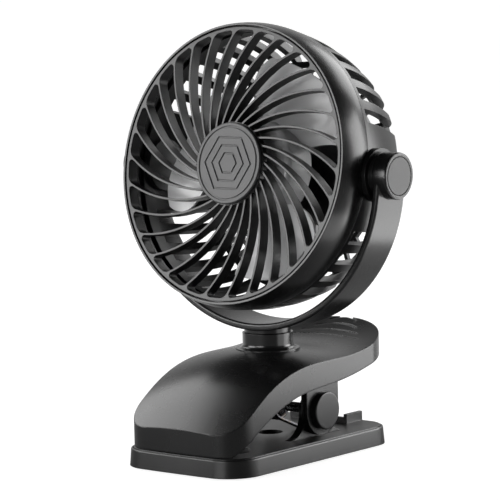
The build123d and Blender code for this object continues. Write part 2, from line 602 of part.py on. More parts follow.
shell_hollow = shell_block(SHELL_TOP_WALL)
skirt_path = [(SWIVEL_Y + y, SHELL_CREASE_Z - drop) for y, drop in SKIRT_POINTS]
with BuildPart() as clip_shell:
    add(shell_block(0))
    with BuildSketch():
        add(shell_outline(0))
    extrude(amount=2 * SHELL_CREASE_Z, mode=Mode.INTERSECT)
    with BuildPart(mode=Mode.SUBTRACT):
        add(shell_hollow)
        with BuildSketch():
            add(shell_outline(SHELL_WALL))
        extrude(amount=2 * SHELL_CREASE_Z, mode=Mode.INTERSECT)
    # everything under the skirt's lower edge is open
    skirt_start = (SWIVEL_Y + SKIRT_START_Y, SHELL_BOTTOM_Z)
    with BuildSketch(Plane.YZ.offset(-SHELL_WIDTH)):
        with BuildLine():
            Spline(skirt_start, *skirt_path)
            Polyline(
                skirt_path[-1],
                (skirt_path[-1][0], 0),
                (2 * FRONT_Y, 0),
                (2 * FRONT_Y, SHELL_BOTTOM_Z),
                skirt_start,
            )
        make_face()
    extrude(amount=2 * SHELL_WIDTH, mode=Mode.SUBTRACT)
    # floor of the nose, which carries the grip pad
    with BuildSketch(Plane.XY.offset(NOSE_FLOOR_Z)):
        add(shell_outline(SHELL_WALL / 2))
        with Locations((0, FRONT_Y + SHELL_FRONT_SETBACK + NOSE_FLOOR_LENGTH)):
            Rectangle(SHELL_WIDTH, CLIP_LENGTH, align=(Align.CENTER, Align.MIN), mode=Mode.SUBTRACT)
    extrude(amount=NOSE_FLOOR_THICKNESS)
    # hinge ears, hanging from the top wall
    ear_top = SHELL_CREASE_Z + SHELL_TOP_WALL / 4 - HINGE_Z
    for side in SIDES.values():
        with BuildSketch(hinge_plane(side, UPPER_EAR_INNER_X)):
            Circle(UPPER_EAR_RADIUS)
            Rectangle(2 * UPPER_EAR_RADIUS, ear_top, align=(Align.CENTER, Align.MIN))
            Circle(PIN_RADIUS, mode=Mode.SUBTRACT)
        extrude(amount=UPPER_EAR_THICKNESS)
    # boss under the collar, with its seat and the bore for the yoke's stem
    with BuildSketch(swivel_floor(STEM_BOTTOM_Z + SEAT_FIT)):
        Circle(SWIVEL_BOSS_RADIUS)
    extrude(amount=COLLAR_SEAT_Z - STEM_BOTTOM_Z)
    with BuildSketch(swivel_floor(COLLAR_SEAT_Z)):
        Circle(COLLAR_FLANGE_RADIUS + SEAT_FIT)
    extrude(amount=SHELL_WIDTH, mode=Mode.SUBTRACT)
    with BuildSketch(swivel_floor(0)):
        Circle(STEM_RADIUS + SLIDE_FIT)
    extrude(amount=2 * SHELL_CREASE_Z, mode=Mode.SUBTRACT)
    # bowed thumb grooves across the handle, shorter towards its end
    with BuildPart(mode=Mode.SUBTRACT):
        for number in range(GROOVE_COUNT):
            groove_y = SWIVEL_Y + GROOVE_FIRST_Y + number * GROOVE_PITCH
            reach = GROOVE_HALF_LENGTH - number * GROOVE_SHORTENING
            with BuildSketch(Plane.XY.offset(SHELL_CREASE_Z)):
                with BuildLine(mode=Mode.PRIVATE):
                    bow = ThreePointArc((-reach, groove_y), (0, groove_y + GROOVE_BOW), (reach, groove_y))
                SlotArc(bow, GROOVE_WIDTH)
            extrude(amount=SHELL_CREASE_Z)
        add(shell_block(GROOVE_DEPTH), mode=Mode.SUBTRACT)
clip_shell.part.label = "clip_shell"
export_step(clip_shell.part, "parts/clip_shell.step")

with BuildPart() as upper_jaw_pad:
    with BuildSketch(Plane.XY.offset(JAW_Z + PAD_GAP / 2)):
        with Locations((0, PAD_Y)):
            RectangleRounded(PAD_WIDTH, PAD_LENGTH, PAD_CORNER)
    extrude(amount=NOSE_FLOOR_Z - JAW_Z - PAD_GAP / 2)
upper_jaw_pad.part.label = "upper_jaw_pad"
export_step(upper_jaw_pad.part, "parts/upper_jaw_pad.step")

with BuildPart() as swivel_collar:
    with BuildSketch(swivel_section):
        with BuildLine():
            bore = STEM_RADIUS + SLIDE_FIT
            flange_top = COLLAR_SEAT_Z + COLLAR_FLANGE_HEIGHT
            Polyline(
                (bore, COLLAR_SEAT_Z),
                (COLLAR_FLANGE_RADIUS, COLLAR_SEAT_Z),
                (COLLAR_FLANGE_RADIUS, flange_top),
                (COLLAR_RADIUS, flange_top),
                (COLLAR_RADIUS, COLLAR_TOP_Z),
                (bore, COLLAR_TOP_Z),
                (bore, COLLAR_SEAT_Z),
            )
        make_face()
    revolve(axis=swivel_axis)
    foot_edge = swivel_collar.edges().filter_by(GeomType.CIRCLE).filter_by(
        lambda e: abs(e.center().Z - flange_top) < SLIDE_FIT and abs(e.radius - COLLAR_RADIUS) < SLIDE_FIT
    )
    fillet(foot_edge, COLLAR_FOOT_RADIUS)
swivel_collar.part.label = "swivel_collar"
export_step(swivel_collar.part, "parts/swivel_collar.step")

with BuildPart() as hinge_pin:
    with BuildSketch(Plane(origin=(-UPPER_EAR_OUTER_X, HINGE_Y, HINGE_Z), z_dir=(1, 0, 0))):
        Circle(PIN_RADIUS)
    extrude(amount=2 * UPPER_EAR_OUTER_X)
hinge_pin.part.label = "hinge_pin"
export_step(hinge_pin.part, "parts/hinge_pin.step")

for name, side in SIDES.items():
    with BuildPart() as hinge_cap:
        with BuildSketch(hinge_plane(side, UPPER_EAR_OUTER_X)):
            Circle(HINGE_CAP_RADIUS)
        extrude(amount=HINGE_CAP_THICKNESS)
        fillet(hinge_cap.edges().group_by(Axis.X)[-1 if side > 0 else 0], TRAY_EDGE_RADIUS)
    hinge_cap.part.label = f"hinge_cap_{name}"
    export_step(hinge_cap.part, f"parts/hinge_cap_{name}.step")

# ======== yoke ========

with BuildPart() as knob:
    with BuildSketch(tilt_plane(1, KNOB_INNER_X)):
        Circle(KNOB_RADIUS)
    extrude(amount=KNOB_FACE_X - KNOB_INNER_X)
    fillet(knob.edges().group_by(Axis.X)[-1], KNOB_EDGE_RADIUS)

with BuildPart() as yoke:
    # curved band, then its outline from the side: wider at the foot, round at the pivots
    with BuildSketch(swivel_section):
        with Locations((0, PIVOT_Z)):
            Circle(YOKE_OUTER_RADIUS)
            Circle(YOKE_INNER_RADIUS, mode=Mode.SUBTRACT)
    extrude(amount=YOKE_FOOT_WIDTH / 2, both=True)
    with BuildSketch(tilt_plane(1, -YOKE_OUTER_RADIUS)):
        with BuildLine():
            half_foot = YOKE_FOOT_WIDTH / 2
            half_top = YOKE_TOP_WIDTH / 2
            ThreePointArc((-half_top, 0), (0, half_top), (half_top, 0))
            TangentArc((half_top, 0), (half_foot, -YOKE_OUTER_RADIUS), tangent=(0, -1))
            Line((half_foot, -YOKE_OUTER_RADIUS), (-half_foot, -YOKE_OUTER_RADIUS))
            TangentArc((-half_top, 0), (-half_foot, -YOKE_OUTER_RADIUS), tangent=(0, -1))
        make_face()
    extrude(amount=2 * YOKE_OUTER_RADIUS, mode=Mode.INTERSECT)
    fillet(yoke.edges().filter_by(lambda e: e.length > YOKE_OUTER_RADIUS), YOKE_EDGE_RADIUS)
    add(knob.part)
    mirror(knob.part, about=Plane.YZ)
    # neck and the stem that turns in the collar
    with BuildSketch(swivel_floor(COLLAR_TOP_Z + SEAT_FIT)):
        Circle(NECK_RADIUS)
    extrude(amount=PIVOT_Z - YOKE_OUTER_RADIUS + YOKE_THICKNESS / 2 - COLLAR_TOP_Z)
    with BuildSketch(swivel_floor(STEM_BOTTOM_Z)):
        Circle(STEM_RADIUS)
    extrude(amount=COLLAR_TOP_Z - STEM_BOTTOM_Z + SEAT_FIT)
    with BuildSketch(swivel_floor(STEM_BOTTOM_Z)):
        Circle(SWIVEL_SCREW_RADIUS)
    extrude(amount=SWIVEL_SCREW_LENGTH, mode=Mode.SUBTRACT)
    for side in SIDES.values():
        with BuildSketch(tilt_plane(side, CAP_FLOOR_X)):
            Circle(CAP_RADIUS + CAP_GROOVE)
        extrude(amount=CAP_THICKNESS, mode=Mode.SUBTRACT)
        with BuildSketch(tilt_plane(side, SCREW_SEAT_X)):
            Circle(PIVOT_SCREW_HEAD_RADIUS + SEAT_FIT)
        extrude(amount=CAP_FLOOR_X - SCREW_SEAT_X, mode=Mode.SUBTRACT)
        with BuildSketch(tilt_plane(side, YOKE_INNER_RADIUS - YOKE_THICKNESS)):
            Circle(PIVOT_SCREW_RADIUS + SLIDE_FIT)
        extrude(amount=YOKE_THICKNESS + KNOB_FACE_X - KNOB_INNER_X, mode=Mode.SUBTRACT)
        # flat face for the friction washer
        with BuildSketch(tilt_plane(side, YOKE_INNER_RADIUS - YOKE_THICKNESS)):
            Circle(KNOB_RADIUS)
        extrude(amount=KNOB_INNER_X - YOKE_INNER_RADIUS + YOKE_THICKNESS, mode=Mode.SUBTRACT)
yoke.part.label = "yoke"
export_step(yoke.part, "parts/yoke.step")

with BuildPart() as swivel_washer:
    with BuildSketch(swivel_floor(STEM_BOTTOM_Z - SWIVEL_WASHER_THICKNESS)):
        Circle(SWIVEL_WASHER_RADIUS)
        Circle(SWIVEL_SCREW_RADIUS, mode=Mode.SUBTRACT)
    extrude(amount=SWIVEL_WASHER_THICKNESS)
swivel_washer.part.label = "swivel_washer"
export_step(swivel_washer.part, "parts/swivel_washer.step")

SWIVEL_SCREW_Z = STEM_BOTTOM_Z - SWIVEL_WASHER_THICKNESS - SWIVEL_SCREW_HEAD_HEIGHT
with BuildPart() as swivel_screw:
    with BuildSketch(swivel_floor(SWIVEL_SCREW_Z)):
        Circle(SWIVEL_SCREW_HEAD_RADIUS)
    extrude(amount=SWIVEL_SCREW_HEAD_HEIGHT)
    with BuildSketch(swivel_floor(SWIVEL_SCREW_Z)):
        Circle(SWIVEL_SCREW_RADIUS)
    extrude(amount=SWIVEL_SCREW_HEAD_HEIGHT + SWIVEL_WASHER_THICKNESS + SWIVEL_SCREW_LENGTH)
swivel_screw.part.label = "swivel_screw"
export_step(swivel_screw.part, "parts/swivel_screw.step")

for name, side in SIDES.items():
    with BuildPart() as pivot_cap:
        with BuildSketch(tilt_plane(side, CAP_FLOOR_X)):
            Circle(CAP_RADIUS + CAP_GROOVE)
        extrude(amount=CAP_THICKNESS - CAP_GROOVE_DEPTH)
        with BuildSketch(tilt_plane(side, CAP_FLOOR_X)):
            Circle(CAP_RADIUS)
        extrude(amount=CAP_THICKNESS)
    pivot_cap.part.label = f"pivot_cap_{name}"
    export_step(pivot_cap.part, f"parts/pivot_cap_{name}.step")

# ======== head ========

with BuildPart() as front_grille:
    with BuildSketch(head.offset(FACE_L - GRILLE_DEPTH)):
        Circle(GRILLE_RADIUS)
    extrude(amount=GRILLE_DEPTH)
    with BuildSketch(head.offset(FACE_L - GRILLE_DEPTH)):
        Circle(GRILLE_HUB_RADIUS)
    extrude(amount=GRILLE_DEPTH - GRILLE_HUB_THICKNESS, mode=Mode.SUBTRACT)
    vane_gap = swirl_opening(
        GRILLE_HUB_RADIUS,
        GRILLE_OPEN_RADIUS,
        360 / VANE_COUNT,
        VANE_WIDTH,
        VANE_TURN_HUB,
        VANE_TURN_MID,
        VANE_RIM_FILLETS,
    )
    with BuildSketch(head.offset(FACE_L - GRILLE_DEPTH)):
        with PolarLocations(0, VANE_COUNT, start_angle=VANE_PHASE):
            add(vane_gap)
    extrude(amount=GRILLE_DEPTH, mode=Mode.SUBTRACT)
front_grille.part.label = "front_grille"
export_step(front_grille.part, "parts/front_grille.step")

with BuildPart() as grille_badge:
    with BuildSketch(head.offset(FACE_L)):
        Circle(BADGE_RADIUS)
    extrude(amount=BADGE_THICKNESS)
    badge_face = grille_badge.faces().sort_by(head_axis)[-1]
    chamfer(badge_face.edges(), BADGE_GROOVE_DEPTH)
    with BuildSketch(head.offset(FACE_L + BADGE_THICKNESS - BADGE_GROOVE_DEPTH)):
        Circle(BADGE_RING_RADIUS)
        Circle(BADGE_RING_RADIUS - BADGE_GROOVE_WIDTH, mode=Mode.SUBTRACT)
        for motif_radius in BADGE_MOTIF_RADII:
            RegularPolygon(motif_radius, 6)
            RegularPolygon(motif_radius - BADGE_GROOVE_WIDTH, 6, mode=Mode.SUBTRACT)
    extrude(amount=BADGE_GROOVE_DEPTH, mode=Mode.SUBTRACT)
grille_badge.part.label = "grille_badge"
export_step(grille_badge.part, "parts/grille_badge.step")

LEDGE_FRONT_L = FACE_L - GRILLE_DEPTH
LEDGE_INNER_RADIUS = GRILLE_RADIUS - RING_LEDGE_WIDTH
with BuildPart() as head_ring:
    with BuildSketch(head_section):
        with BuildLine():
            ThreePointArc(
                (RING_FRONT_RADIUS, RING_FRONT_L),
                (RING_MID_RADIUS, RING_MID_L),
                (RING_BACK_RADIUS, RING_BACK_L),
            )
            Polyline(
                (RING_BACK_RADIUS, RING_BACK_L),
                (RING_INNER_RADIUS, RING_BACK_L),
                (RING_INNER_RADIUS, LEDGE_FRONT_L - RING_LEDGE_THICKNESS),
                (LEDGE_INNER_RADIUS, LEDGE_FRONT_L - RING_LEDGE_THICKNESS),
                (LEDGE_INNER_RADIUS, LEDGE_FRONT_L),
                (RING_INNER_RADIUS, LEDGE_FRONT_L),
                (RING_INNER_RADIUS, RING_FRONT_L),
                (RING_FRONT_RADIUS, RING_FRONT_L),
            )
        make_face()
    revolve(axis=head_axis)
    # openings that fit round the pivot bosses
    for side in SIDES.values():
        with BuildSketch(tilt_plane(side, PIVOT_BOSS_INNER_X)):
            Circle(PIVOT_BOSS_RADIUS + SEAT_FIT)
        extrude(amount=PIVOT_BOSS_END_X - PIVOT_BOSS_INNER_X, mode=Mode.SUBTRACT)
head_ring.part.label = "head_ring"
export_step(head_ring.part, "parts/head_ring.step")


def guard_section(wall, floor_l):
    """Half-section of the rear guard's bowl, with its skin moved in by a wall."""
    shoulder = (GUARD_SHOULDER_RADIUS - wall, GUARD_SHOULDER_L + wall / 2)
    with BuildSketch(head_section) as section:
        with BuildLine():
            flank = ThreePointArc(
                (RING_BACK_RADIUS - wall, RING_BACK_L), (GUARD_WAIST_RADIUS - wall, GUARD_WAIST_L), shoulder
            )
            TangentArc(shoulder, (GUARD_REAR_RADIUS - wall / 2, floor_l), tangent=flank % 1)
            Polyline(
                (GUARD_REAR_RADIUS - wall / 2, floor_l),
                (0, floor_l),
                (0, RING_BACK_L),
                (RING_BACK_RADIUS - wall, RING_BACK_L),
            )
        make_face()
    return section.sketch


SPIGOT_RADIUS = RING_INNER_RADIUS - SEAT_FIT
with BuildPart() as rear_guard:
    add(guard_section(0, GUARD_REAR_L))
    revolve(axis=head_axis)
    with BuildSketch(head.offset(RING_BACK_L)):
        Circle(SPIGOT_RADIUS)
    extrude(amount=GUARD_SPIGOT)
    with BuildSketch(head.offset(RING_BACK_L)):
        Circle(RING_BACK_RADIUS - GUARD_WALL)
    extrude(amount=GUARD_SPIGOT, mode=Mode.SUBTRACT)
    add(guard_section(GUARD_WALL, PLATE_INNER_L))
    revolve(axis=head_axis, mode=Mode.SUBTRACT)
    # side slots, run over the shoulder
    with BuildSketch(head.offset(GUARD_REAR_L)):
        for first in (SLOT_FIRST_ANGLE, SLOT_FIRST_ANGLE + 180):
            with PolarLocations(
                SLOT_FLOOR_RADIUS,
                SLOTS_PER_SIDE,
                start_angle=first,
                angular_range=SLOT_PITCH * (SLOTS_PER_SIDE - 1),
                endpoint=True,
            ):
                Rectangle(RING_BACK_RADIUS, SLOT_WIDTH, align=(Align.MIN, Align.CENTER))
    extrude(amount=SLOT_FRONT_L - GUARD_REAR_L, mode=Mode.SUBTRACT)
    # rear windows between slanted ribs, crossed by two rings
    window = swirl_opening(POD_RADIUS, WINDOW_OUTER_RADIUS, SLOT_PITCH, WINDOW_RIB, WINDOW_TURN)
    with BuildSketch(head.offset(GUARD_REAR_L)):
        with PolarLocations(0, int(360 / SLOT_PITCH)):
            add(window)
        for inset in WINDOW_RING_INSETS:
            with BuildSketch(mode=Mode.SUBTRACT):
                Circle(WINDOW_OUTER_RADIUS - inset + WINDOW_RING_WIDTH)
                Circle(WINDOW_OUTER_RADIUS - inset, mode=Mode.SUBTRACT)
    extrude(amount=GUARD_PLATE, mode=Mode.SUBTRACT)
    # cup that holds the motor, and the posts for the rear cover
    with BuildSketch(head.offset(PLATE_INNER_L)):
        Circle(MOTOR_RADIUS + CUP_WALL)
        Circle(MOTOR_RADIUS, mode=Mode.SUBTRACT)
    extrude(amount=CUP_LENGTH)
    with BuildSketch(head.offset(GUARD_REAR_L)):
        for angle in POST_ANGLES:
            with Locations(polar(POST_CIRCLE_RADIUS, angle)):
                Circle(POST_RADIUS)
                Circle(REAR_SCREW_RADIUS, mode=Mode.SUBTRACT)
    extrude(amount=POD_INNER_L - GUARD_REAR_L)
    # pivot bosses, stepped down to the washer
    for side in SIDES.values():
        with BuildSketch(tilt_plane(side, PIVOT_BOSS_INNER_X)):
            Circle(PIVOT_BOSS_RADIUS)
        extrude(amount=PIVOT_BOSS_END_X - PIVOT_BOSS_STEP - PIVOT_BOSS_INNER_X)
        with BuildSketch(tilt_plane(side, PIVOT_BOSS_INNER_X)):
            Circle(PIVOT_BOSS_TIP_RADIUS)
        extrude(amount=PIVOT_BOSS_END_X - PIVOT_BOSS_INNER_X)
        with BuildSketch(tilt_plane(side, PIVOT_BOSS_END_X - PIVOT_SCREW_GRIP)):
            Circle(PIVOT_SCREW_RADIUS)
        extrude(amount=PIVOT_SCREW_GRIP, mode=Mode.SUBTRACT)
rear_guard.part.label = "rear_guard"
export_step(rear_guard.part, "parts/rear_guard.step")

for name, side in SIDES.items():
    with BuildPart() as pivot_washer:
        with BuildSketch(tilt_plane(side, PIVOT_BOSS_END_X)):
            Circle(PIVOT_WASHER_RADIUS)
            Circle(PIVOT_SCREW_RADIUS, mode=Mode.SUBTRACT)
        extrude(amount=PIVOT_WASHER_THICKNESS)
    pivot_washer.part.label = f"pivot_washer_{name}"
    export_step(pivot_washer.part, f"parts/pivot_washer_{name}.step")

    with BuildPart() as pivot_screw:
        head_seat_x = SCREW_SEAT_X + SLIDE_FIT
        with BuildSketch(tilt_plane(side, PIVOT_BOSS_END_X - PIVOT_SCREW_GRIP)):
            Circle(PIVOT_SCREW_RADIUS)
        extrude(amount=head_seat_x - PIVOT_BOSS_END_X + PIVOT_SCREW_GRIP)
        with BuildSketch(tilt_plane(side, head_seat_x)):
            Circle(PIVOT_SCREW_HEAD_RADIUS)
        extrude(amount=PIVOT_SCREW_HEAD_HEIGHT)
    pivot_screw.part.label = f"pivot_screw_{name}"
    export_step(pivot_screw.part, f"parts/pivot_screw_{name}.step")

with BuildPart() as motor_can:
    with BuildSketch(head.offset(MOTOR_REAR_L)):
        Circle(MOTOR_RADIUS)
    extrude(amount=MOTOR_LENGTH)
    fillet(motor_can.faces().sort_by(head_axis)[-1].edges(), MOTOR_EDGE_RADIUS)
    with BuildSketch(head.offset(MOTOR_REAR_L)):
        Circle(MOTOR_BORE_RADIUS)
    extrude(amount=MOTOR_LENGTH, mode=Mode.SUBTRACT)
    for bush_l in (MOTOR_REAR_L, MOTOR_FRONT_L - BUSH_LENGTH):
        with BuildSketch(head.offset(bush_l)):
            Circle(BUSH_RADIUS)
        extrude(amount=BUSH_LENGTH, mode=Mode.SUBTRACT)
motor_can.part.label = "motor_can"
export_step(motor_can.part, "parts/motor_can.step")

for name, bush_l in (("rear", MOTOR_REAR_L), ("front", MOTOR_FRONT_L - BUSH_LENGTH)):
    with BuildPart() as motor_bush:
        with BuildSketch(head.offset(bush_l)):
            Circle(BUSH_RADIUS)
            Circle(SHAFT_RADIUS + SLIDE_FIT, mode=Mode.SUBTRACT)
        extrude(amount=BUSH_LENGTH)
    motor_bush.part.label = f"motor_{name}_bush"
    export_step(motor_bush.part, f"parts/motor_{name}_bush.step")

PORT_FACE_RADIUS = POD_RADIUS - PORT_WALL
port_plane = Plane(
    origin=head.from_local_coords((0, -PORT_FACE_RADIUS, PORT_L)), x_dir=head.x_dir, z_dir=head.y_dir
)

with BuildPart() as rear_cover:
    with BuildSketch(head.offset(POD_REAR_L)):
        Circle(POD_RADIUS)
    extrude(amount=POD_DEPTH)
    fillet(rear_cover.faces().sort_by(head_axis)[0].edges(), POD_EDGE_RADIUS)
    with BuildSketch(head.offset(POD_INNER_L)):
        Circle(POD_RADIUS - POD_WALL)
    extrude(amount=POD_DEPTH, mode=Mode.SUBTRACT)
    with BuildSketch(head.offset(POD_INNER_L)):
        Circle(POD_RADIUS - POD_WALL)
        Circle(BOARD_RADIUS - BOARD_LEDGE, mode=Mode.SUBTRACT)
        for angle in POST_ANGLES:
            with Locations(polar(POST_CIRCLE_RADIUS, angle)):
                Circle(POST_RADIUS + SEAT_FIT, mode=Mode.SUBTRACT)
    extrude(amount=BOARD_FROM_COVER)
    with BuildSketch(head.offset(POD_REAR_L)):
        Circle(BUTTON_RADIUS + SLIDE_FIT)
        with Locations((0, LENS_OFFSET)):
            Circle(LENS_RADIUS)
        for angle in POST_ANGLES:
            with Locations(polar(POST_CIRCLE_RADIUS, angle)):
                Circle(REAR_SCREW_RADIUS)
    extrude(amount=POD_WALL, mode=Mode.SUBTRACT)
    with BuildSketch(head.offset(POD_REAR_L)):
        for angle in POST_ANGLES:
            with Locations(polar(POST_CIRCLE_RADIUS, angle)):
                Circle(REAR_SCREW_HEAD_RADIUS + SEAT_FIT)
    extrude(amount=REAR_SCREW_HEAD_HEIGHT, mode=Mode.SUBTRACT)
    # opening for the charging port, in the underside
    with BuildSketch(port_plane.offset(-PORT_WALL)):
        RectangleRounded(PORT_SIZE[0], PORT_SIZE[1], PORT_SIZE[1] / 2 - PORT_WALL / 2)
    extrude(amount=POD_WALL * 2, mode=Mode.SUBTRACT)
rear_cover.part.label = "rear_cover"
export_step(rear_cover.part, "parts/rear_cover.step")

with BuildPart() as rear_screws:
    with BuildSketch(head.offset(POD_REAR_L)):
        for angle in POST_ANGLES:
            with Locations(polar(POST_CIRCLE_RADIUS, angle)):
                Circle(REAR_SCREW_HEAD_RADIUS)
    extrude(amount=REAR_SCREW_HEAD_HEIGHT)
    with BuildSketch(head.offset(POD_REAR_L)):
        for angle in POST_ANGLES:
            with Locations(polar(POST_CIRCLE_RADIUS, angle)):
                Circle(REAR_SCREW_RADIUS)
    extrude(amount=REAR_SCREW_HEAD_HEIGHT + REAR_SCREW_LENGTH)
rear_screws.part.label = "rear_screws"
export_step(rear_screws.part, "parts/rear_screws.step")

with BuildPart() as circuit_board:
    with BuildSketch(head.offset(BOARD_BACK_L)):
        Circle(BOARD_RADIUS)
        for angle in POST_ANGLES:
            with Locations(polar(POST_CIRCLE_RADIUS, angle)):
                Circle(POST_RADIUS + SEAT_FIT, mode=Mode.SUBTRACT)
    extrude(amount=BOARD_THICKNESS)
    with BuildSketch(head.offset(BOARD_BACK_L - DOME_HEIGHT)):
        Circle(DOME_RADIUS)
    extrude(amount=DOME_HEIGHT)
circuit_board.part.label = "circuit_board"
export_step(circuit_board.part, "parts/circuit_board.step")

with BuildPart() as battery_cell:
    with BuildSketch(head.offset(BOARD_FRONT_L)):
        RectangleRounded(CELL_SIZE[0], CELL_SIZE[1], CELL_EDGE_RADIUS)
    extrude(amount=CELL_SIZE[2])
battery_cell.part.label = "battery_cell"
export_step(battery_cell.part, "parts/battery_cell.step")

with BuildPart() as charge_port:
    with BuildSketch(port_plane):
        RectangleRounded(PORT_SIZE[0], PORT_SIZE[1], PORT_SIZE[1] / 2 - PORT_WALL / 2)
    extrude(amount=PORT_DEPTH)
    with BuildSketch(port_plane):
        RectangleRounded(
            PORT_SIZE[0] - 2 * PORT_WALL, PORT_SIZE[1] - 2 * PORT_WALL, PORT_SIZE[1] / 2 - 2 * PORT_WALL
        )
    extrude(amount=PORT_DEPTH - PORT_WALL * 3, mode=Mode.SUBTRACT)
    with BuildSketch(port_plane.offset(PORT_WALL)):
        Rectangle(PORT_SIZE[0] - 6 * PORT_WALL, 2 * PORT_WALL)
    extrude(amount=PORT_DEPTH - PORT_WALL * 2)
charge_port.part.label = "charge_port"
export_step(charge_port.part, "parts/charge_port.step")

with BuildPart() as status_lens:
    with BuildSketch(head.offset(POD_REAR_L)):
        with Locations((0, LENS_OFFSET)):
            Circle(LENS_RADIUS)
    extrude(amount=LENS_LENGTH)
status_lens.part.label = "status_lens"
export_step(status_lens.part, "parts/status_lens.step")

with BuildPart() as power_button:
    with BuildSketch(head.offset(POD_REAR_L - BUTTON_PROUD)):
        Circle(BUTTON_RADIUS)
    extrude(amount=BUTTON_PROUD + POD_WALL + BUTTON_FLANGE_THICKNESS)
    fillet(power_button.faces().sort_by(head_axis)[0].edges(), BUTTON_PROUD / 2)
    with BuildSketch(head.offset(POD_INNER_L + SLIDE_FIT)):
        Circle(BUTTON_FLANGE_RADIUS)
    extrude(amount=BUTTON_FLANGE_THICKNESS - SLIDE_FIT)
power_button.part.label = "power_button"
export_step(power_button.part, "parts/power_button.step")

# ======== impeller ========

# one blade, with its middle along X: a wavy sheet, cut to the outline seen from the front
blade_waves = []
for out, low, high in BLADE_WAVES:
    run = (high[0] - low[0]) / 3
    skin = BLADE_THICKNESS
    with BuildSketch(Plane(origin=(out * BLADE_TIP_RADIUS, 0, 0), x_dir=(0, 1, 0), z_dir=(1, 0, 0))) as wave:
        with BuildLine():
            for lift, start, end in ((0, low, high), (skin, low, high)):
                Bezier(
                    (low[0], low[1] + lift),
                    (low[0] + run, low[1] + lift),
                    (high[0] - run, high[1] + lift),
                    (high[0], high[1] + lift),
                )
                Line((-BLADE_TIP_RADIUS, low[1] + lift), (low[0], low[1] + lift))
                Line((high[0], high[1] + lift), (BLADE_TIP_RADIUS, high[1] + lift))
            Line((-BLADE_TIP_RADIUS, low[1]), (-BLADE_TIP_RADIUS, low[1] + skin))
            Line((BLADE_TIP_RADIUS, high[1]), (BLADE_TIP_RADIUS, high[1] + skin))
        make_face()
    blade_waves.append(wave.sketch)

with BuildPart() as blade:
    loft(blade_waves)
    with BuildSketch(Plane.XY.offset(-POD_RADIUS)):
        with BuildLine():
            leading = [(out * BLADE_TIP_RADIUS, along * BLADE_TIP_RADIUS) for along, out in BLADE_LEADING]
            trailing = [(out * BLADE_TIP_RADIUS, along * BLADE_TIP_RADIUS) for along, out in BLADE_TRAILING]
            Spline(*leading)
            Line(leading[-1], (2 * BLADE_TIP_RADIUS, leading[-1][1]))
            Line((2 * BLADE_TIP_RADIUS, leading[-1][1]), (2 * BLADE_TIP_RADIUS, trailing[-1][1]))
            Line((2 * BLADE_TIP_RADIUS, trailing[-1][1]), trailing[-1])
            Spline(*trailing)
            Line(trailing[0], leading[0])
        make_face()
    extrude(amount=2 * POD_RADIUS, mode=Mode.INTERSECT)
    with BuildSketch(Plane.XY.offset(-POD_RADIUS)):
        Circle(BLADE_TIP_RADIUS)
    extrude(amount=2 * POD_RADIUS, mode=Mode.INTERSECT)

with BuildPart() as impeller:
    with BuildSketch(head.offset(HUB_REAR_L)):
        Circle(HUB_RADIUS)
    extrude(amount=HUB_LENGTH)
    fillet(impeller.faces().sort_by(head_axis)[-1].edges(), HUB_EDGE_RADIUS)
    for number in range(BLADE_COUNT):
        turn = BLADE_PHASE + number * 360 / BLADE_COUNT
        add(head.location * Location((0, 0, 0), (0, 0, turn)) * blade.part)
    # cup that covers the front of the motor, with a boss on the shaft
    with BuildSketch(head.offset(HUB_REAR_L)):
        Circle(HUB_RADIUS - HUB_WALL)
    extrude(amount=MOTOR_FRONT_L + 2 * MOVING_GAP - HUB_REAR_L, mode=Mode.SUBTRACT)
    with BuildSketch(head.offset(HUB_REAR_L)):
        Circle(HUB_RADIUS - HUB_WALL)
        Circle(HUB_BORE_BOSS, mode=Mode.SUBTRACT)
    extrude(amount=HUB_LENGTH - HUB_EDGE_RADIUS, mode=Mode.SUBTRACT)
    with BuildSketch(head.offset(HUB_REAR_L)):
        Circle(SHAFT_RADIUS)
    extrude(amount=SHAFT_FRONT_L - HUB_REAR_L, mode=Mode.SUBTRACT)
impeller.part.label = "impeller"
export_step(impeller.part, "parts/impeller.step")

with BuildPart() as motor_shaft:
    with BuildSketch(head.offset(MOTOR_REAR_L + BUSH_LENGTH / 3)):
        Circle(SHAFT_RADIUS)
    extrude(amount=SHAFT_FRONT_L - MOTOR_REAR_L - BUSH_LENGTH / 3)
motor_shaft.part.label = "motor_shaft"
export_step(motor_shaft.part, "parts/motor_shaft.step")
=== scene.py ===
import logging
import math
from dataclasses import dataclass
from enum import Enum
from typing import Iterable, Sequence

import bmesh
import bpy
from mathutils import Matrix, Vector


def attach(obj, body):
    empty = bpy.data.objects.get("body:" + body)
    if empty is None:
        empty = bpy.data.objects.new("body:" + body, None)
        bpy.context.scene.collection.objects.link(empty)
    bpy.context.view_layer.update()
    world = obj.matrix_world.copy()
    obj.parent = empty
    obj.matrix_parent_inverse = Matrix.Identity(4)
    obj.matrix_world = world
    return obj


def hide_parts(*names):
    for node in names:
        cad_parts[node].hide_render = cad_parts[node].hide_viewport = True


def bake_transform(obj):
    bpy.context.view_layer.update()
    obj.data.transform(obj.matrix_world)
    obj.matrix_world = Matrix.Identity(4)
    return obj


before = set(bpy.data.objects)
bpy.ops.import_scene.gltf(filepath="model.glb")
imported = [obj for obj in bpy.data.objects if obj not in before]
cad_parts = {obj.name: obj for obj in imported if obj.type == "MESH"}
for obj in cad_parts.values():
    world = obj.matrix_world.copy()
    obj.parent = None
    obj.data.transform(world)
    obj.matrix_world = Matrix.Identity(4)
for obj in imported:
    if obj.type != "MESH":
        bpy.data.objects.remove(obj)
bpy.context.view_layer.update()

log = logging.getLogger("clip_fan")
MM = 0.001
MM_PER_METRE = 1000.0
Colour = tuple[float, float, float]
Point = tuple[float, float, float]
Spot = tuple[float, float]


# ---------------------------------------------------------------- where things are


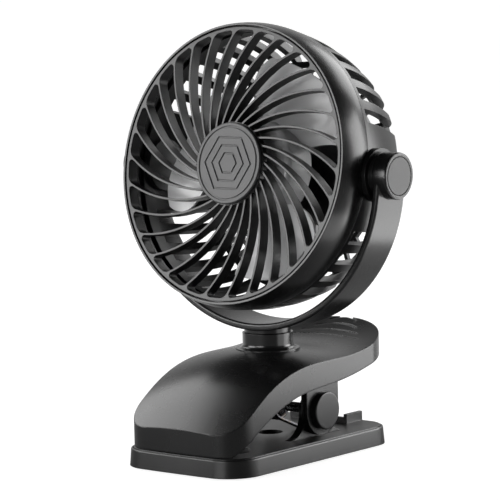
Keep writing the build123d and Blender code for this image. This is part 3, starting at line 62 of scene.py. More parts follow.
@dataclass(frozen=True)
class FanLayout:
    """Places of the main axes, in millimetres in the model's frame."""

    swivel_y: float = 4.2
    pivot_z: float = 139.1
    head_tilt: float = 11.2
    hinge_y: float = 9.2
    hinge_z: float = 22.5

    def head_frame(self, forward: float) -> Matrix:
        """Frame across the fan's axis.

        Args:
            forward: distance along the fan's axis from the tilt axis, in millimetres.

        Returns:
            A matrix whose Z runs out of the grille and whose X is the tilt axis.
        """
        tilt = math.radians(self.head_tilt)
        out = Vector((0.0, -math.cos(tilt), math.sin(tilt)))
        right = Vector((1.0, 0.0, 0.0))
        up = out.cross(right)
        place = Matrix((right, up, out)).transposed().to_4x4()
        origin = Vector((0.0, self.swivel_y, self.pivot_z)) + out * forward
        return Matrix.Translation(origin * MM) @ place


LAYOUT = FanLayout()


class Body(Enum):
    """Bodies of the model that the scene's own pieces ride on."""

    BASE = "base"
    UPPER_JAW = "upper_jaw"
    HEAD = "fan_head"


# ---------------------------------------------------------------- node groups


class Graph:
    """Adds and joins shader nodes in one tree."""

    def __init__(self, tree: bpy.types.NodeTree) -> None:
        """Keep the tree that nodes are added to."""
        self.tree = tree

    def add(self, kind: str, inputs: dict | None = None, **settings: object) -> bpy.types.Node:
        """Add a node.

        Args:
            kind: Blender's name of the node type.
            inputs: values or output sockets, by input name or index.
            settings: attributes set on the node first.

        Returns:
            The new node.
        """
        node = self.tree.nodes.new(kind)
        for name, value in settings.items():
            setattr(node, name, value)
        for name, value in (inputs or {}).items():
            if isinstance(value, bpy.types.NodeSocket):
                self.join(value, node.inputs[name])
            else:
                node.inputs[name].default_value = value
        return node

    def join(self, source: bpy.types.NodeSocket, sink: bpy.types.NodeSocket) -> None:
        """Link an output socket to an input socket."""
        self.tree.links.new(source, sink)

    def math(
        self, operation: str, first: object, second: object, clamp: bool = False
    ) -> bpy.types.NodeSocket:
        """Result of a Math node on two values or sockets."""
        node = self.add("ShaderNodeMath", {0: first, 1: second}, operation=operation, use_clamp=clamp)
        return node.outputs[0]

    def ramp(
        self, value: bpy.types.NodeSocket, low: float, high: float, to_low: float = 0.0, to_high: float = 1.0
    ) -> bpy.types.NodeSocket:
        """Smooth step of a value from low..high to to_low..to_high."""
        node = self.add(
            "ShaderNodeMapRange",
            {"Value": value, "From Min": low, "From Max": high, "To Min": to_low, "To Max": to_high},
            interpolation_type="SMOOTHSTEP",
        )
        return node.outputs["Result"]

    def mix(self, factor: object, first: object, second: object) -> bpy.types.NodeSocket:
        """Colour mixed from the first to the second by a factor."""
        node = self.add("ShaderNodeMix", {"Factor": factor, 6: first, 7: second}, data_type="RGBA")
        return node.outputs[2]

    def noise(
        self, coordinates: bpy.types.NodeSocket, scale: object, detail: float = 2.0, roughness: float = 0.5
    ) -> bpy.types.NodeSocket:
        """Noise between 0 and 1 at a scale."""
        node = self.add(
            "ShaderNodeTexNoise",
            {"Vector": coordinates, "Scale": scale, "Detail": detail, "Roughness": roughness},
        )
        return node.outputs[0]

    def object_place(self) -> bpy.types.NodeSocket:
        """Coordinates in the object's own frame, in metres."""
        return self.add("ShaderNodeTexCoord").outputs["Object"]

    def background_rays(self) -> bpy.types.NodeSocket:
        """1 for rays from the camera or through glass, which see the white surroundings."""
        path = self.add("ShaderNodeLightPath")
        return self.math("MAXIMUM", path.outputs["Is Camera Ray"], path.outputs["Is Transmission Ray"])


def fresh_graph(owner: bpy.types.Material | bpy.types.World) -> Graph:
    """Empty a node tree.

    Args:
        owner: the material or world that the tree belongs to.

    Returns:
        The tree's graph.
    """
    owner.use_nodes = True
    owner.node_tree.nodes.clear()
    return Graph(owner.node_tree)


class Effect(Enum):
    """Shared effects, each one a node group."""

    MOULD_GRAIN = "Mould grain"
    EDGE_WEAR = "Edge wear"
    SETTLED_DUST = "Settled dust"
    HANDLING = "Handling sheen"
    TURNING = "Turning lines"


class EffectGroups:
    """Node groups that put out the masks, values and heights that several finishes share.

    Noise scales are in cycles a metre, and the ramps' limits are levels of the noise that they cut.
    """

    NOISE_MIDDLE = 0.5

    def __init__(self) -> None:
        """Build every group once."""
        self._groups: dict[Effect, bpy.types.NodeTree] = {
            Effect.MOULD_GRAIN: self._mould_grain(),
            Effect.EDGE_WEAR: self._edge_wear(),
            Effect.SETTLED_DUST: self._settled_dust(),
            Effect.HANDLING: self._handling(),
            Effect.TURNING: self._turning(),
        }

    def place(self, graph: Graph, effect: Effect, **values: float) -> bpy.types.Node:
        """Put an effect's group into a material.

        Args:
            graph: the material's graph.
            effect: which effect.
            values: values of the group's inputs, with _ for a space.

        Returns:
            The group node.
        """
        node = graph.tree.nodes.new("ShaderNodeGroup")
        node.node_tree = self._groups[effect]
        for name, value in values.items():
            node.inputs[name.replace("_", " ").capitalize()].default_value = value
        return node

    @staticmethod
    def _new(
        effect: Effect, inputs: dict[str, float], outputs: Iterable[str], normals: Iterable[str] = ()
    ) -> tuple[Graph, bpy.types.Node, bpy.types.Node]:
        """Start a group with its sockets.

        Args:
            effect: the effect, whose value names the group.
            inputs: the float inputs and their defaults.
            outputs: names of the float outputs.
            normals: names of the vector outputs.

        Returns:
            The group's graph, input node and output node.
        """
        tree = bpy.data.node_groups.new(effect.value, "ShaderNodeTree")
        for name, default in inputs.items():
            socket = tree.interface.new_socket(name, in_out="INPUT", socket_type="NodeSocketFloat")
            socket.default_value = default
        for name in outputs:
            tree.interface.new_socket(name, in_out="OUTPUT", socket_type="NodeSocketFloat")
        for name in normals:
            tree.interface.new_socket(name, in_out="OUTPUT", socket_type="NodeSocketVector")
        graph = Graph(tree)
        return graph, graph.add("NodeGroupInput"), graph.add("NodeGroupOutput")

    def _mould_grain(self) -> bpy.types.NodeTree:
        """Spark-eroded mould texture: fine pebbles over a soft mottle.

        Returns:
            The group's tree.
        """
        graph, source, sink = self._new(
            Effect.MOULD_GRAIN, {"Size": 0.35, "Mottle": 0.3}, ("Height", "Mottle")
        )
        pebble_share, speck_share, speck_fineness, cloud_scale = 0.6, 0.5, 1.7, 45.0
        place = graph.object_place()
        scale = graph.math("DIVIDE", MM_PER_METRE, source.outputs["Size"])
        pebble = graph.add(
            "ShaderNodeTexVoronoi", {"Vector": place, "Scale": scale, "Smoothness": 0.8}, feature="SMOOTH_F1"
        ).outputs["Distance"]
        speck = graph.noise(place, graph.math("MULTIPLY", scale, speck_fineness), detail=3.0, roughness=0.6)
        height = graph.math(
            "ADD", graph.math("MULTIPLY", pebble, pebble_share), graph.math("MULTIPLY", speck, speck_share)
        )
        cloud = graph.math("SUBTRACT", graph.noise(place, cloud_scale, detail=3.0), self.NOISE_MIDDLE)
        graph.join(height, sink.inputs["Height"])
        graph.join(graph.math("MULTIPLY", cloud, source.outputs["Mottle"]), sink.inputs["Mottle"])
        return graph.tree

    def _edge_wear(self) -> bpy.types.NodeTree:
        """Mask of the outer edges, broken up by noise, and the normal of their small moulded radius.

        Returns:
            The group's tree.
        """
        graph, source, sink = self._new(
            Effect.EDGE_WEAR, {"Radius": 0.0003, "Amount": 0.5, "Breakup": 320.0}, ("Mask",), ("Normal",)
        )
        flat, sharp = 0.995, 0.86
        patch_low, patch_high = 0.4, 0.62
        bevel = graph.add("ShaderNodeBevel", {"Radius": source.outputs["Radius"]}, samples=4)
        round_normal = bevel.outputs[0]
        true_normal = graph.add("ShaderNodeNewGeometry").outputs["Normal"]
        turn = graph.add("ShaderNodeVectorMath", {0: round_normal, 1: true_normal}, operation="DOT_PRODUCT")
        edge = graph.ramp(turn.outputs["Value"], flat, sharp)
        breakup = graph.noise(graph.object_place(), source.outputs["Breakup"], detail=4.0)
        worn = graph.math("MULTIPLY", edge, graph.ramp(breakup, patch_low, patch_high))
        mask = graph.math("MULTIPLY", worn, source.outputs["Amount"], clamp=True)
        graph.join(mask, sink.inputs["Mask"])
        graph.join(round_normal, sink.inputs["Normal"])
        return graph.tree

    def _settled_dust(self) -> bpy.types.NodeTree:
        """Mask of fine dust on faces that look up.

        Returns:
            The group's tree.
        """
        graph, source, sink = self._new(
            Effect.SETTLED_DUST, {"Amount": 0.2, "Speck": 2600.0}, ("Mask",)
        )
        steep, level = 0.35, 0.98
        speck_low, speck_high = 0.63, 0.74
        film_scale, film_low, film_high, thinnest, thickest = 60.0, 0.35, 0.8, 0.02, 0.35
        normal = graph.add("ShaderNodeNewGeometry").outputs["Normal"]
        lie = graph.ramp(graph.add("ShaderNodeSeparateXYZ", {0: normal}).outputs["Z"], steep, level)
        place = graph.object_place()
        specks = graph.ramp(graph.noise(place, source.outputs["Speck"], detail=2.0), speck_low, speck_high)
        cloud = graph.noise(place, film_scale, detail=5.0, roughness=0.65)
        film = graph.ramp(cloud, film_low, film_high, thinnest, thickest)
        settled = graph.math("MULTIPLY", lie, graph.math("ADD", specks, film, clamp=True))
        mask = graph.math("MULTIPLY", settled, source.outputs["Amount"], clamp=True)
        graph.join(mask, sink.inputs["Mask"])
        return graph.tree

    def _handling(self) -> bpy.types.NodeTree:
        """Change of roughness where hands have polished the surface, with a few hairline scratches.

        Returns:
            The group's tree.
        """
        graph, source, sink = self._new(
            Effect.HANDLING, {"Amount": 0.06, "Scratches": 0.1}, ("Roughness",)
        )
        smear_scale, hair_scale, hair_low, hair_high = 26.0, 160.0, 0.68, 0.76
        hair_turn, hair_stretch = (0.4, 0.2, 0.7), (1.0, 26.0, 1.0)
        place = graph.object_place()
        cloud = graph.noise(place, smear_scale, detail=4.0, roughness=0.6)
        smear = graph.math("SUBTRACT", cloud, self.NOISE_MIDDLE)
        stretched = graph.add(
            "ShaderNodeMapping", {"Vector": place, "Rotation": hair_turn, "Scale": hair_stretch}
        )
        hair = graph.ramp(graph.noise(stretched.outputs[0], hair_scale, detail=2.0), hair_low, hair_high)
        value = graph.math(
            "ADD",
            graph.math("MULTIPLY", smear, source.outputs["Amount"]),
            graph.math("MULTIPLY", hair, source.outputs["Scratches"]),
        )
        graph.join(value, sink.inputs["Roughness"])
        return graph.tree

    def _turning(self) -> bpy.types.NodeTree:
        """Fine parallel lines left by turning or drawing, across one axis of the piece.

        Returns:
            The group's tree.
        """
        graph, source, sink = self._new(Effect.TURNING, {"Pitch": 0.12, "Across": 0.0}, ("Height", "Mask"))
        tarnish_scale, tarnish_low, tarnish_high = 300.0, 0.45, 0.75
        place = graph.object_place()
        parts = graph.add("ShaderNodeSeparateXYZ", {0: place})
        along = graph.add(
            "ShaderNodeMix",
            {"Factor": source.outputs["Across"], 2: parts.outputs["X"], 3: parts.outputs["Z"]},
            data_type="FLOAT",
        ).outputs[0]
        lines = graph.add("ShaderNodeCombineXYZ", {"X": along, "Y": 0.0, "Z": 0.0})
        scale = graph.math("DIVIDE", MM_PER_METRE, source.outputs["Pitch"])
        height = graph.noise(lines.outputs[0], scale, detail=2.0)
        tarnish = graph.ramp(graph.noise(place, tarnish_scale, detail=4.0), tarnish_low, tarnish_high)
        graph.join(height, sink.inputs["Height"])
        graph.join(tarnish, sink.inputs["Mask"])
        return graph.tree


EFFECTS = EffectGroups()


# ---------------------------------------------------------------- finishes


def new_material(name: str) -> tuple[bpy.types.Material, Graph, bpy.types.Node]:
    """Start a material.

    Args:
        name: the finish's name.

    Returns:
        The material, its graph and its Principled node, already joined to the output.
    """
    material = bpy.data.materials.new(name)
    graph = fresh_graph(material)
    shader = graph.add("ShaderNodeBsdfPrincipled")
    graph.add("ShaderNodeOutputMaterial", {"Surface": shader.outputs[0]})
    return material, graph, shader


def opaque(colour: Colour) -> tuple[float, float, float, float]:
    """Colour with full alpha."""
    return (*colour, 1.0)


@dataclass(frozen=True)
class MouldedPlastic:
    """Satin black plastic as it leaves a spark-eroded mould."""

    name: str
    colour: Colour = (0.005, 0.005, 0.0052)
    roughness: float = 0.36
    grain_size: float = 0.32
    grain_depth: float = 0.0000035
    worn_colour: Colour = (0.022, 0.022, 0.023)
    wear: float = 0.5
    wear_radius: float = 0.00035
    dust: float = 0.10
    mottle: float = 0.05
    scratches: float = 0.05
    smears: float = 0.1
    dust_colour: Colour = (0.22, 0.215, 0.2)
    dust_roughness: float = 0.5

    def material(self) -> bpy.types.Material:
        """Build the material.

        Returns:
            A material with mould grain, worn edges, dust and handling sheen.
        """
        material, graph, shader = new_material(self.name)
        grain = EFFECTS.place(graph, Effect.MOULD_GRAIN, size=self.grain_size, mottle=self.mottle)
        wear = EFFECTS.place(graph, Effect.EDGE_WEAR, radius=self.wear_radius, amount=self.wear)
        dust = EFFECTS.place(graph, Effect.SETTLED_DUST, amount=self.dust)
        sheen = EFFECTS.place(graph, Effect.HANDLING, amount=self.smears, scratches=self.scratches)
        worn = graph.mix(wear.outputs["Mask"], opaque(self.colour), opaque(self.worn_colour))
        dusty = graph.mix(dust.outputs["Mask"], worn, opaque(self.dust_colour))
        graph.join(dusty, shader.inputs["Base Color"])
        rough = graph.math("ADD", sheen.outputs["Roughness"], self.roughness)
        rough = graph.math("ADD", rough, grain.outputs["Mottle"])
        dull = graph.math("MULTIPLY", dust.outputs["Mask"], self.dust_roughness)
        rough = graph.math("ADD", rough, dull, clamp=True)
        graph.join(rough, shader.inputs["Roughness"])
        bump = graph.add(
            "ShaderNodeBump",
            {
                "Height": grain.outputs["Height"], "Distance": self.grain_depth, "Strength": 1.0,
                "Normal": wear.outputs["Normal"],
            },
        )
        graph.join(bump.outputs[0], shader.inputs["Normal"])
        return material


@dataclass(frozen=True)
class SoftRubber:
    """Matt black rubber with a fine tooth."""

    name: str
    colour: Colour = (0.018, 0.018, 0.018)
    roughness: float = 0.72
    dust_colour: Colour = (0.16, 0.155, 0.15)
    tooth: float = 0.00002

    def material(self) -> bpy.types.Material:
        """Build the material with a coarse tooth and dust.

        Returns:
            The material.
        """
        material, graph, shader = new_material(self.name)
        grain = EFFECTS.place(graph, Effect.MOULD_GRAIN, size=0.5, mottle=0.2)
        dust = EFFECTS.place(graph, Effect.SETTLED_DUST, amount=0.3)
        colour = graph.mix(dust.outputs["Mask"], opaque(self.colour), opaque(self.dust_colour))
        graph.join(colour, shader.inputs["Base Color"])
        rough = graph.math("ADD", grain.outputs["Mottle"], self.roughness, clamp=True)
        graph.join(rough, shader.inputs["Roughness"])
        bump = graph.add(
            "ShaderNodeBump", {"Height": grain.outputs["Height"], "Distance": self.tooth, "Strength": 1.0}
        )
        graph.join(bump.outputs[0], shader.inputs["Normal"])
        return material


@dataclass(frozen=True)
class WorkedMetal:
    """Turned, drawn or plated metal."""

    name: str
    colour: Colour = (0.55, 0.56, 0.58)
    stain: Colour = (0.32, 0.31, 0.30)
    roughness: float = 0.24
    pitch: float = 0.12
    across: float = 0.0
    depth: float = 0.000004
    worn_colour: Colour = (0.78, 0.78, 0.78)
    stain_roughness: float = 0.16

    def material(self) -> bpy.types.Material:
        """Build the material with tool lines and light tarnish.

        Returns:
            The material.
        """
        material, graph, shader = new_material(self.name)
        lines = EFFECTS.place(graph, Effect.TURNING, pitch=self.pitch, across=self.across)
        wear = EFFECTS.place(graph, Effect.EDGE_WEAR, radius=0.00015, amount=0.6)
        colour = graph.mix(lines.outputs["Mask"], opaque(self.colour), opaque(self.stain))
        colour = graph.mix(wear.outputs["Mask"], colour, opaque(self.worn_colour))
        graph.join(colour, shader.inputs["Base Color"])
        dull = graph.math("MULTIPLY", lines.outputs["Mask"], self.stain_roughness)
        rough = graph.math("ADD", dull, self.roughness, clamp=True)
        graph.join(rough, shader.inputs["Roughness"])
        shader.inputs["Metallic"].default_value = 1.0
        bump = graph.add(
            "ShaderNodeBump", {"Height": lines.outputs["Height"], "Distance": self.depth, "Strength": 1.0}
        )
        graph.join(bump.outputs[0], shader.inputs["Normal"])
        return material


@dataclass(frozen=True)
class BoardLacquer:
    """Green solder mask over a glass-fibre weave."""

    name: str = "Board lacquer"
    warp: Colour = (0.006, 0.07, 0.03)
    weft: Colour = (0.01, 0.11, 0.05)
    worn_colour: Colour = (0.3, 0.33, 0.2)
    weave_scale: float = 1600.0

    def material(self) -> bpy.types.Material:
        """Build the material with the weave showing faintly through the lacquer.

        Returns:
            The material.
        """
        material, graph, shader = new_material(self.name)
        weave = graph.add(
            "ShaderNodeTexChecker",
            {
                "Vector": graph.object_place(), "Scale": self.weave_scale,
                "Color1": opaque(self.warp), "Color2": opaque(self.weft),
            },
        )
        wear = EFFECTS.place(graph, Effect.EDGE_WEAR, radius=0.0002, amount=0.7)
        colour = graph.mix(wear.outputs["Mask"], weave.outputs["Color"], opaque(self.worn_colour))
        graph.join(colour, shader.inputs["Base Color"])
        shader.inputs["Roughness"].default_value = 0.25
        shader.inputs["Coat Weight"].default_value = 0.3
        return material


@dataclass(frozen=True)
class ShrinkWrap:
    """Thin silver laminate round a pouch cell, lightly creased."""

    name: str = "Cell laminate"
    colour: Colour = (0.5, 0.51, 0.53)
    roughness: float = 0.34
    crease: float = 0.0001

    def material(self) -> bpy.types.Material:
        """Build the material with soft creases.

        Returns:
            The material.
        """
        material, graph, shader = new_material(self.name)
        sheen = EFFECTS.place(graph, Effect.HANDLING, amount=0.2, scratches=0.1)
        grain = EFFECTS.place(graph, Effect.MOULD_GRAIN, size=2.2, mottle=0.4)
        shader.inputs["Base Color"].default_value = opaque(self.colour)
        shader.inputs["Metallic"].default_value = 0.8
        rough = graph.math("ADD", sheen.outputs["Roughness"], self.roughness, clamp=True)
        graph.join(rough, shader.inputs["Roughness"])
        bump = graph.add(
            "ShaderNodeBump", {"Height": grain.outputs["Height"], "Distance": self.crease, "Strength": 0.6}
        )
        graph.join(bump.outputs[0], shader.inputs["Normal"])
        return material


@dataclass(frozen=True)
class FrostedLens:
    """Milky clear plastic of a light pipe."""

    name: str = "Light pipe"
    colour: Colour = (0.85, 0.87, 0.88)
    roughness: float = 0.32
    acrylic_ior: float = 1.49

    def material(self) -> bpy.types.Material:
        """Build the material, clear with a frosted face.

        Returns:
            The material.
        """
        material, graph, shader = new_material(self.name)
        grain = EFFECTS.place(graph, Effect.MOULD_GRAIN, size=0.25, mottle=0.15)
        shader.inputs["Base Color"].default_value = opaque(self.colour)
        shader.inputs["Transmission Weight"].default_value = 0.6
        shader.inputs["IOR"].default_value = self.acrylic_ior
        rough = graph.math("ADD", grain.outputs["Mottle"], self.roughness, clamp=True)
        graph.join(rough, shader.inputs["Roughness"])
        return material


class Finish(Enum):
    """Finishes of the object's pieces."""

    BASE = MouldedPlastic("Base plastic", roughness=0.31, wear_radius=0.0006, dust=0.12)
    PLATE = MouldedPlastic(
        "Plate plastic", roughness=0.36, grain_depth=0.000005, wear_radius=0.0005, dust=0.14,
    )
    SHELL = MouldedPlastic("Jaw plastic", roughness=0.27, wear_radius=0.0009, wear=0.25, dust=0.03)
    COLLAR = MouldedPlastic("Collar plastic", roughness=0.21, grain_depth=0.000002, dust=0.05)
    YOKE = MouldedPlastic("Yoke plastic", roughness=0.24, wear_radius=0.0007, wear=0.3, dust=0.08)
    CAP = MouldedPlastic("Cap plastic", roughness=0.30, grain_size=0.26, dust=0.06)
    RING = MouldedPlastic("Head ring plastic", roughness=0.25, wear_radius=0.0005, dust=0.08)
    GUARD = MouldedPlastic("Guard plastic", roughness=0.30, dust=0.08)
    GRILLE = MouldedPlastic("Grille plastic", roughness=0.34, grain_size=0.28, dust=0.05, wear=0.35)
    BADGE = MouldedPlastic(
        "Badge plastic", colour=(0.03, 0.03, 0.031), roughness=0.40, grain_size=0.26,
        dust=0.05, wear=0.3,
    )
    # Blades: the light grey base colour is a painted reflection of the front lamps' light on black blade
    # plastic, not the plastic's own colour.
    BLADE = MouldedPlastic(
        "Blade plastic, painted reflection", colour=(0.45, 0.45, 0.455), roughness=0.24, grain_depth=0.0000015,
        wear=0.25, dust=0.06,
    )
    COVER = MouldedPlastic("Cover plastic", roughness=0.29)
    BUTTON = MouldedPlastic(
        "Button plastic", colour=(0.02, 0.02, 0.021), roughness=0.3, grain_depth=0.000004,
        wear=0.3, dust=0.05,
    )
    RUBBER = SoftRubber("Grip rubber")
    SPRING = WorkedMetal(
        "Blackened spring wire", colour=(0.06, 0.06, 0.065), stain=(0.12, 0.10, 0.08),
        roughness=0.36, pitch=0.3,
    )
    PIN = WorkedMetal("Hinge pin", pitch=0.2)
    SCREW = WorkedMetal(
        "Black zinc screws", colour=(0.09, 0.09, 0.095), stain=(0.2, 0.17, 0.13), roughness=0.34,
    )
    WASHER = SoftRubber("Nylon washer", colour=(0.62, 0.61, 0.57), roughness=0.45)
    MOTOR = WorkedMetal("Motor can", colour=(0.60, 0.60, 0.61), roughness=0.30, pitch=0.18, across=1.0)
    BUSH = WorkedMetal("Sintered bush", colour=(0.52, 0.33, 0.15), stain=(0.30, 0.18, 0.08), roughness=0.42)
    PORT = WorkedMetal("Port shell", colour=(0.62, 0.62, 0.62), roughness=0.26)
    BOARD = BoardLacquer()
    CELL = ShrinkWrap()
    LENS = FrostedLens()


class FinishShelf:
    """Materials, each built the first time that a piece asks for it."""

    def __init__(self) -> None:
        """Start with no materials."""
        self._made: dict[Finish, bpy.types.Material] = {}

    def get(self, finish: Finish) -> bpy.types.Material:
        """Material of a finish."""
        if finish not in self._made:
            self._made[finish] = finish.value.material()
        return self._made[finish]


SHELF = FinishShelf()


# ---------------------------------------------------------------- dressing and mesh helpers


@dataclass(frozen=True)
class EdgeRound:
    """Small moulded radius on the edges of a solid, in millimetres."""

    width: float
    steps: int = 2
    angle: float = 35.0
    weld_distance: float = 0.000002

    def put_on(self, piece: bpy.types.Object) -> None:
        """Add the weld and bevel modifiers that round a piece's edges.

        Args:
            piece: the object that takes them.
        """
        weld = piece.modifiers.new("Join seams", "WELD")
        weld.merge_threshold = self.weld_distance
        bevel = piece.modifiers.new("Mould radius", "BEVEL")
        bevel.width = self.width * MM
        bevel.segments = self.steps
        bevel.limit_method = "ANGLE"
        bevel.angle_limit = math.radians(self.angle)
        bevel.harden_normals = True
        bevel.use_clamp_overlap = True
        bevel.miter_outer = "MITER_ARC"


def dress(node: str, finish: Finish, edge: EdgeRound | None = None) -> None:
    """Give a solid its finish.

    Args:
        node: name of the solid.
        finish: the finish it takes.
        edge: rounding of its edges, if it needs any.
    """
    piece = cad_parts[node]
    piece.data.materials.clear()
    piece.data.materials.append(SHELF.get(finish))
    if edge is not None:
        edge.put_on(piece)
    log.info("dressed %s in %s", node, finish.value.name)


def round_ring(steps: int) -> list[Spot]:
    """Unit circle as a list of (cosine, sine)."""
    angles = [2 * math.pi * step / steps for step in range(steps)]
    return [(math.cos(angle), math.sin(angle)) for angle in angles]


class Sculpt:
    """Collects a piece's mesh, in millimetres in the model's frame.

    Edges flatter than SMOOTH_ANGLE, in degrees, are shaded smooth.
    """

    SMOOTH_ANGLE = 35.0

    def __init__(self, name: str) -> None:
        """Start an empty mesh for the piece of that name."""
        self.name = name
        self.mesh = bmesh.new()

    def bridge(self, low: Sequence[bmesh.types.BMVert], high: Sequence[bmesh.types.BMVert]) -> None:
        """Join two closed rings of corners with a band of faces.

        Args:
            low: the first ring.
            high: the second ring, with as many corners.
        """
        count = len(low)
        for step in range(count):
            after = (step + 1) % count
            self.mesh.faces.new((low[step], low[after], high[after], high[step]))

    def prism(self, outline: Sequence[Spot], low: float, high: float) -> None:
        """Raise a closed outline into a solid.

        Args:
            outline: its corners, anticlockwise.
            low: height of the bottom.
            high: height of the top.
        """
        floor = [self.mesh.verts.new((x, y, low)) for x, y in outline]
        roof = [self.mesh.verts.new((x, y, high)) for x, y in outline]
        self.bridge(floor, roof)
        self.mesh.faces.new(list(reversed(floor)))
        self.mesh.faces.new(roof)

    def tube(self, path: Sequence[Vector], radius: float, steps: int) -> None:
        """Sweep a round section along a path, with closed ends.

        Args:
            path: points along the middle.
            radius: radius of the section.
            steps: facets round it.
        """
        rings = []
        normal = None
        for number, point in enumerate(path):
            before = path[max(number - 1, 0)]
            after = path[min(number + 1, len(path) - 1)]
            along = (after - before).normalized()
            if normal is None:
                normal = along.orthogonal().normalized()
            normal = (normal - along * normal.dot(along)).normalized()
            side = along.cross(normal)
            rings.append([
                self.mesh.verts.new(point + normal * radius * across + side * radius * up)
                for across, up in round_ring(steps)
            ])
        for low, high in zip(rings, rings[1:]):
            self.bridge(low, high)
        self.mesh.faces.new(list(reversed(rings[0])))
        self.mesh.faces.new(rings[-1])

    def finish(self, finish: Finish) -> bpy.types.Object:
        """Turn the mesh into an object with a finish.

        Args:
            finish: the finish that it takes.

        Returns:
            The new object, in metres.
        """
        bmesh.ops.recalc_face_normals(self.mesh, faces=self.mesh.faces)
        for corner in self.mesh.verts:
            corner.co *= MM
        for face in self.mesh.faces:
            face.smooth = True
        limit = math.radians(self.SMOOTH_ANGLE)
        for edge in self.mesh.edges:
            edge.smooth = len(edge.link_faces) == 2 and edge.calc_face_angle(0.0) < limit
        data = bpy.data.meshes.new(self.name)
        self.mesh.to_mesh(data)
        self.mesh.free()
        piece = bpy.data.objects.new(self.name, data)
        bpy.context.scene.collection.objects.link(piece)
        data.materials.append(SHELF.get(finish))
        log.info("built %s", self.name)
        return piece


def rounded_rectangle(width: float, length: float, radius: float, centre: Spot, steps: int = 6) -> list[Spot]:
    """Outline of a rectangle with round corners.

    Args:
        width: size along X.
        length: size along Y.
        radius: corner radius.
        centre: middle of the rectangle.
        steps: facets in each corner.

    Returns:
        Points round the outline, anticlockwise.
    """
    points = []
    for turn, (sx, sy) in enumerate(((1, 1), (-1, 1), (-1, -1), (1, -1))):
        cx = centre[0] + sx * (width / 2 - radius)
        cy = centre[1] + sy * (length / 2 - radius)
        for step in range(steps + 1):
            angle = math.pi / 2 * (turn + step / steps)
            points.append((cx + radius * math.cos(angle), cy + radius * math.sin(angle)))
    return points


# ---------------------------------------------------------------- sub-assemblies


@dataclass
class GripPad:
    """Ribbed rubber pad of one jaw."""

    name: str
    node: str
    body: Body
    bottom: float
    top: float
    ribs_up: bool
    width: float = 46.0
    length: float = 10.0
    corner: float = 1.5
    centre_y: float = -57.0
    rib_count: int = 6
    rib_height: float = 0.35
    rib_share: float = 0.5
    rib_corner: float = 0.2
    rib_root: float = 0.02
    edge: float = 0.12

    def build(self) -> None:
        """Build the pad with its ribs and put it in place of the plain one."""
        pad = Sculpt(self.name)
        low, high = self.bottom, self.top
        if self.ribs_up:
            high -= self.rib_height
        else:
            low += self.rib_height
        pad.prism(rounded_rectangle(self.width, self.length, self.corner, (0.0, self.centre_y)), low, high)
        pitch = (self.length - 2 * self.corner) / (self.rib_count - 1)
        for rib in range(self.rib_count):
            y = self.centre_y - self.length / 2 + self.corner + rib * pitch
            bar = rounded_rectangle(
                self.width - 2 * self.corner, pitch * self.rib_share, pitch * self.rib_corner,
                (0.0, y), steps=3,
            )
            if self.ribs_up:
                pad.prism(bar, high - self.rib_root, self.top)
            else:
                pad.prism(bar, self.bottom, low + self.rib_root)
        piece = pad.finish(Finish.RUBBER)
        EdgeRound(self.edge).put_on(piece)
        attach(piece, self.body.value)
        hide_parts(self.node)


@dataclass
class ClampSpring:
    """Torsion spring of the clip: a close coil with a leg under each jaw."""

    coil_radius: float = 6.4
    wire: float = 2.0
    pitch: float = 2.6
    full_turns: int = 3
    upper_leg: float = 28.2
    upper_angle: float = 45.0
    lower_leg: float = 18.2
    lower_angle: float = 18.0
    steps_per_turn: int = 30
    steps_round: int = 16
    leg_shares: tuple[float, ...] = (0.08, 0.35, 0.7, 1.0)

    @property
    def turns(self) -> float:
        """Turns of the coil, with the part turn between its legs."""
        return self.full_turns + (180 - self.upper_angle - self.lower_angle) / 360

    def path(self) -> list[Vector]:
        """Lay out the middle of the wire.

        Returns:
            Points in millimetres, from the upper leg's end to the lower one's.
        """
        length = self.pitch * self.turns
        start = math.radians(90 + self.upper_angle)
        coil = []
        steps = int(self.turns * self.steps_per_turn)
        for step in range(steps + 1):
            share = step / steps
            angle = start + 2 * math.pi * self.turns * share
            coil.append(Vector((
                -length / 2 + length * share,
                LAYOUT.hinge_y + self.coil_radius * math.cos(angle),
                LAYOUT.hinge_z + self.coil_radius * math.sin(angle),
            )))
        upper = self._leg(coil[0], coil[0] - coil[1], self.upper_leg)
        lower = self._leg(coil[-1], coil[-1] - coil[-2], self.lower_leg)
        return list(reversed(upper)) + coil + lower

    def _leg(self, start: Vector, along: Vector, length: float) -> list[Vector]:
        """Straight points that carry the wire on past the coil."""
        step = along.normalized()
        return [start + step * length * share for share in self.leg_shares]

    def build(self) -> None:
        """Sweep the wire in the model's frame and hide the plain spring."""
        spring = Sculpt("spring_wire")
        spring.tube(self.path(), self.wire / 2, self.steps_round)
        piece = spring.finish(Finish.SPRING)
        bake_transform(piece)
        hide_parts("clamp_spring")


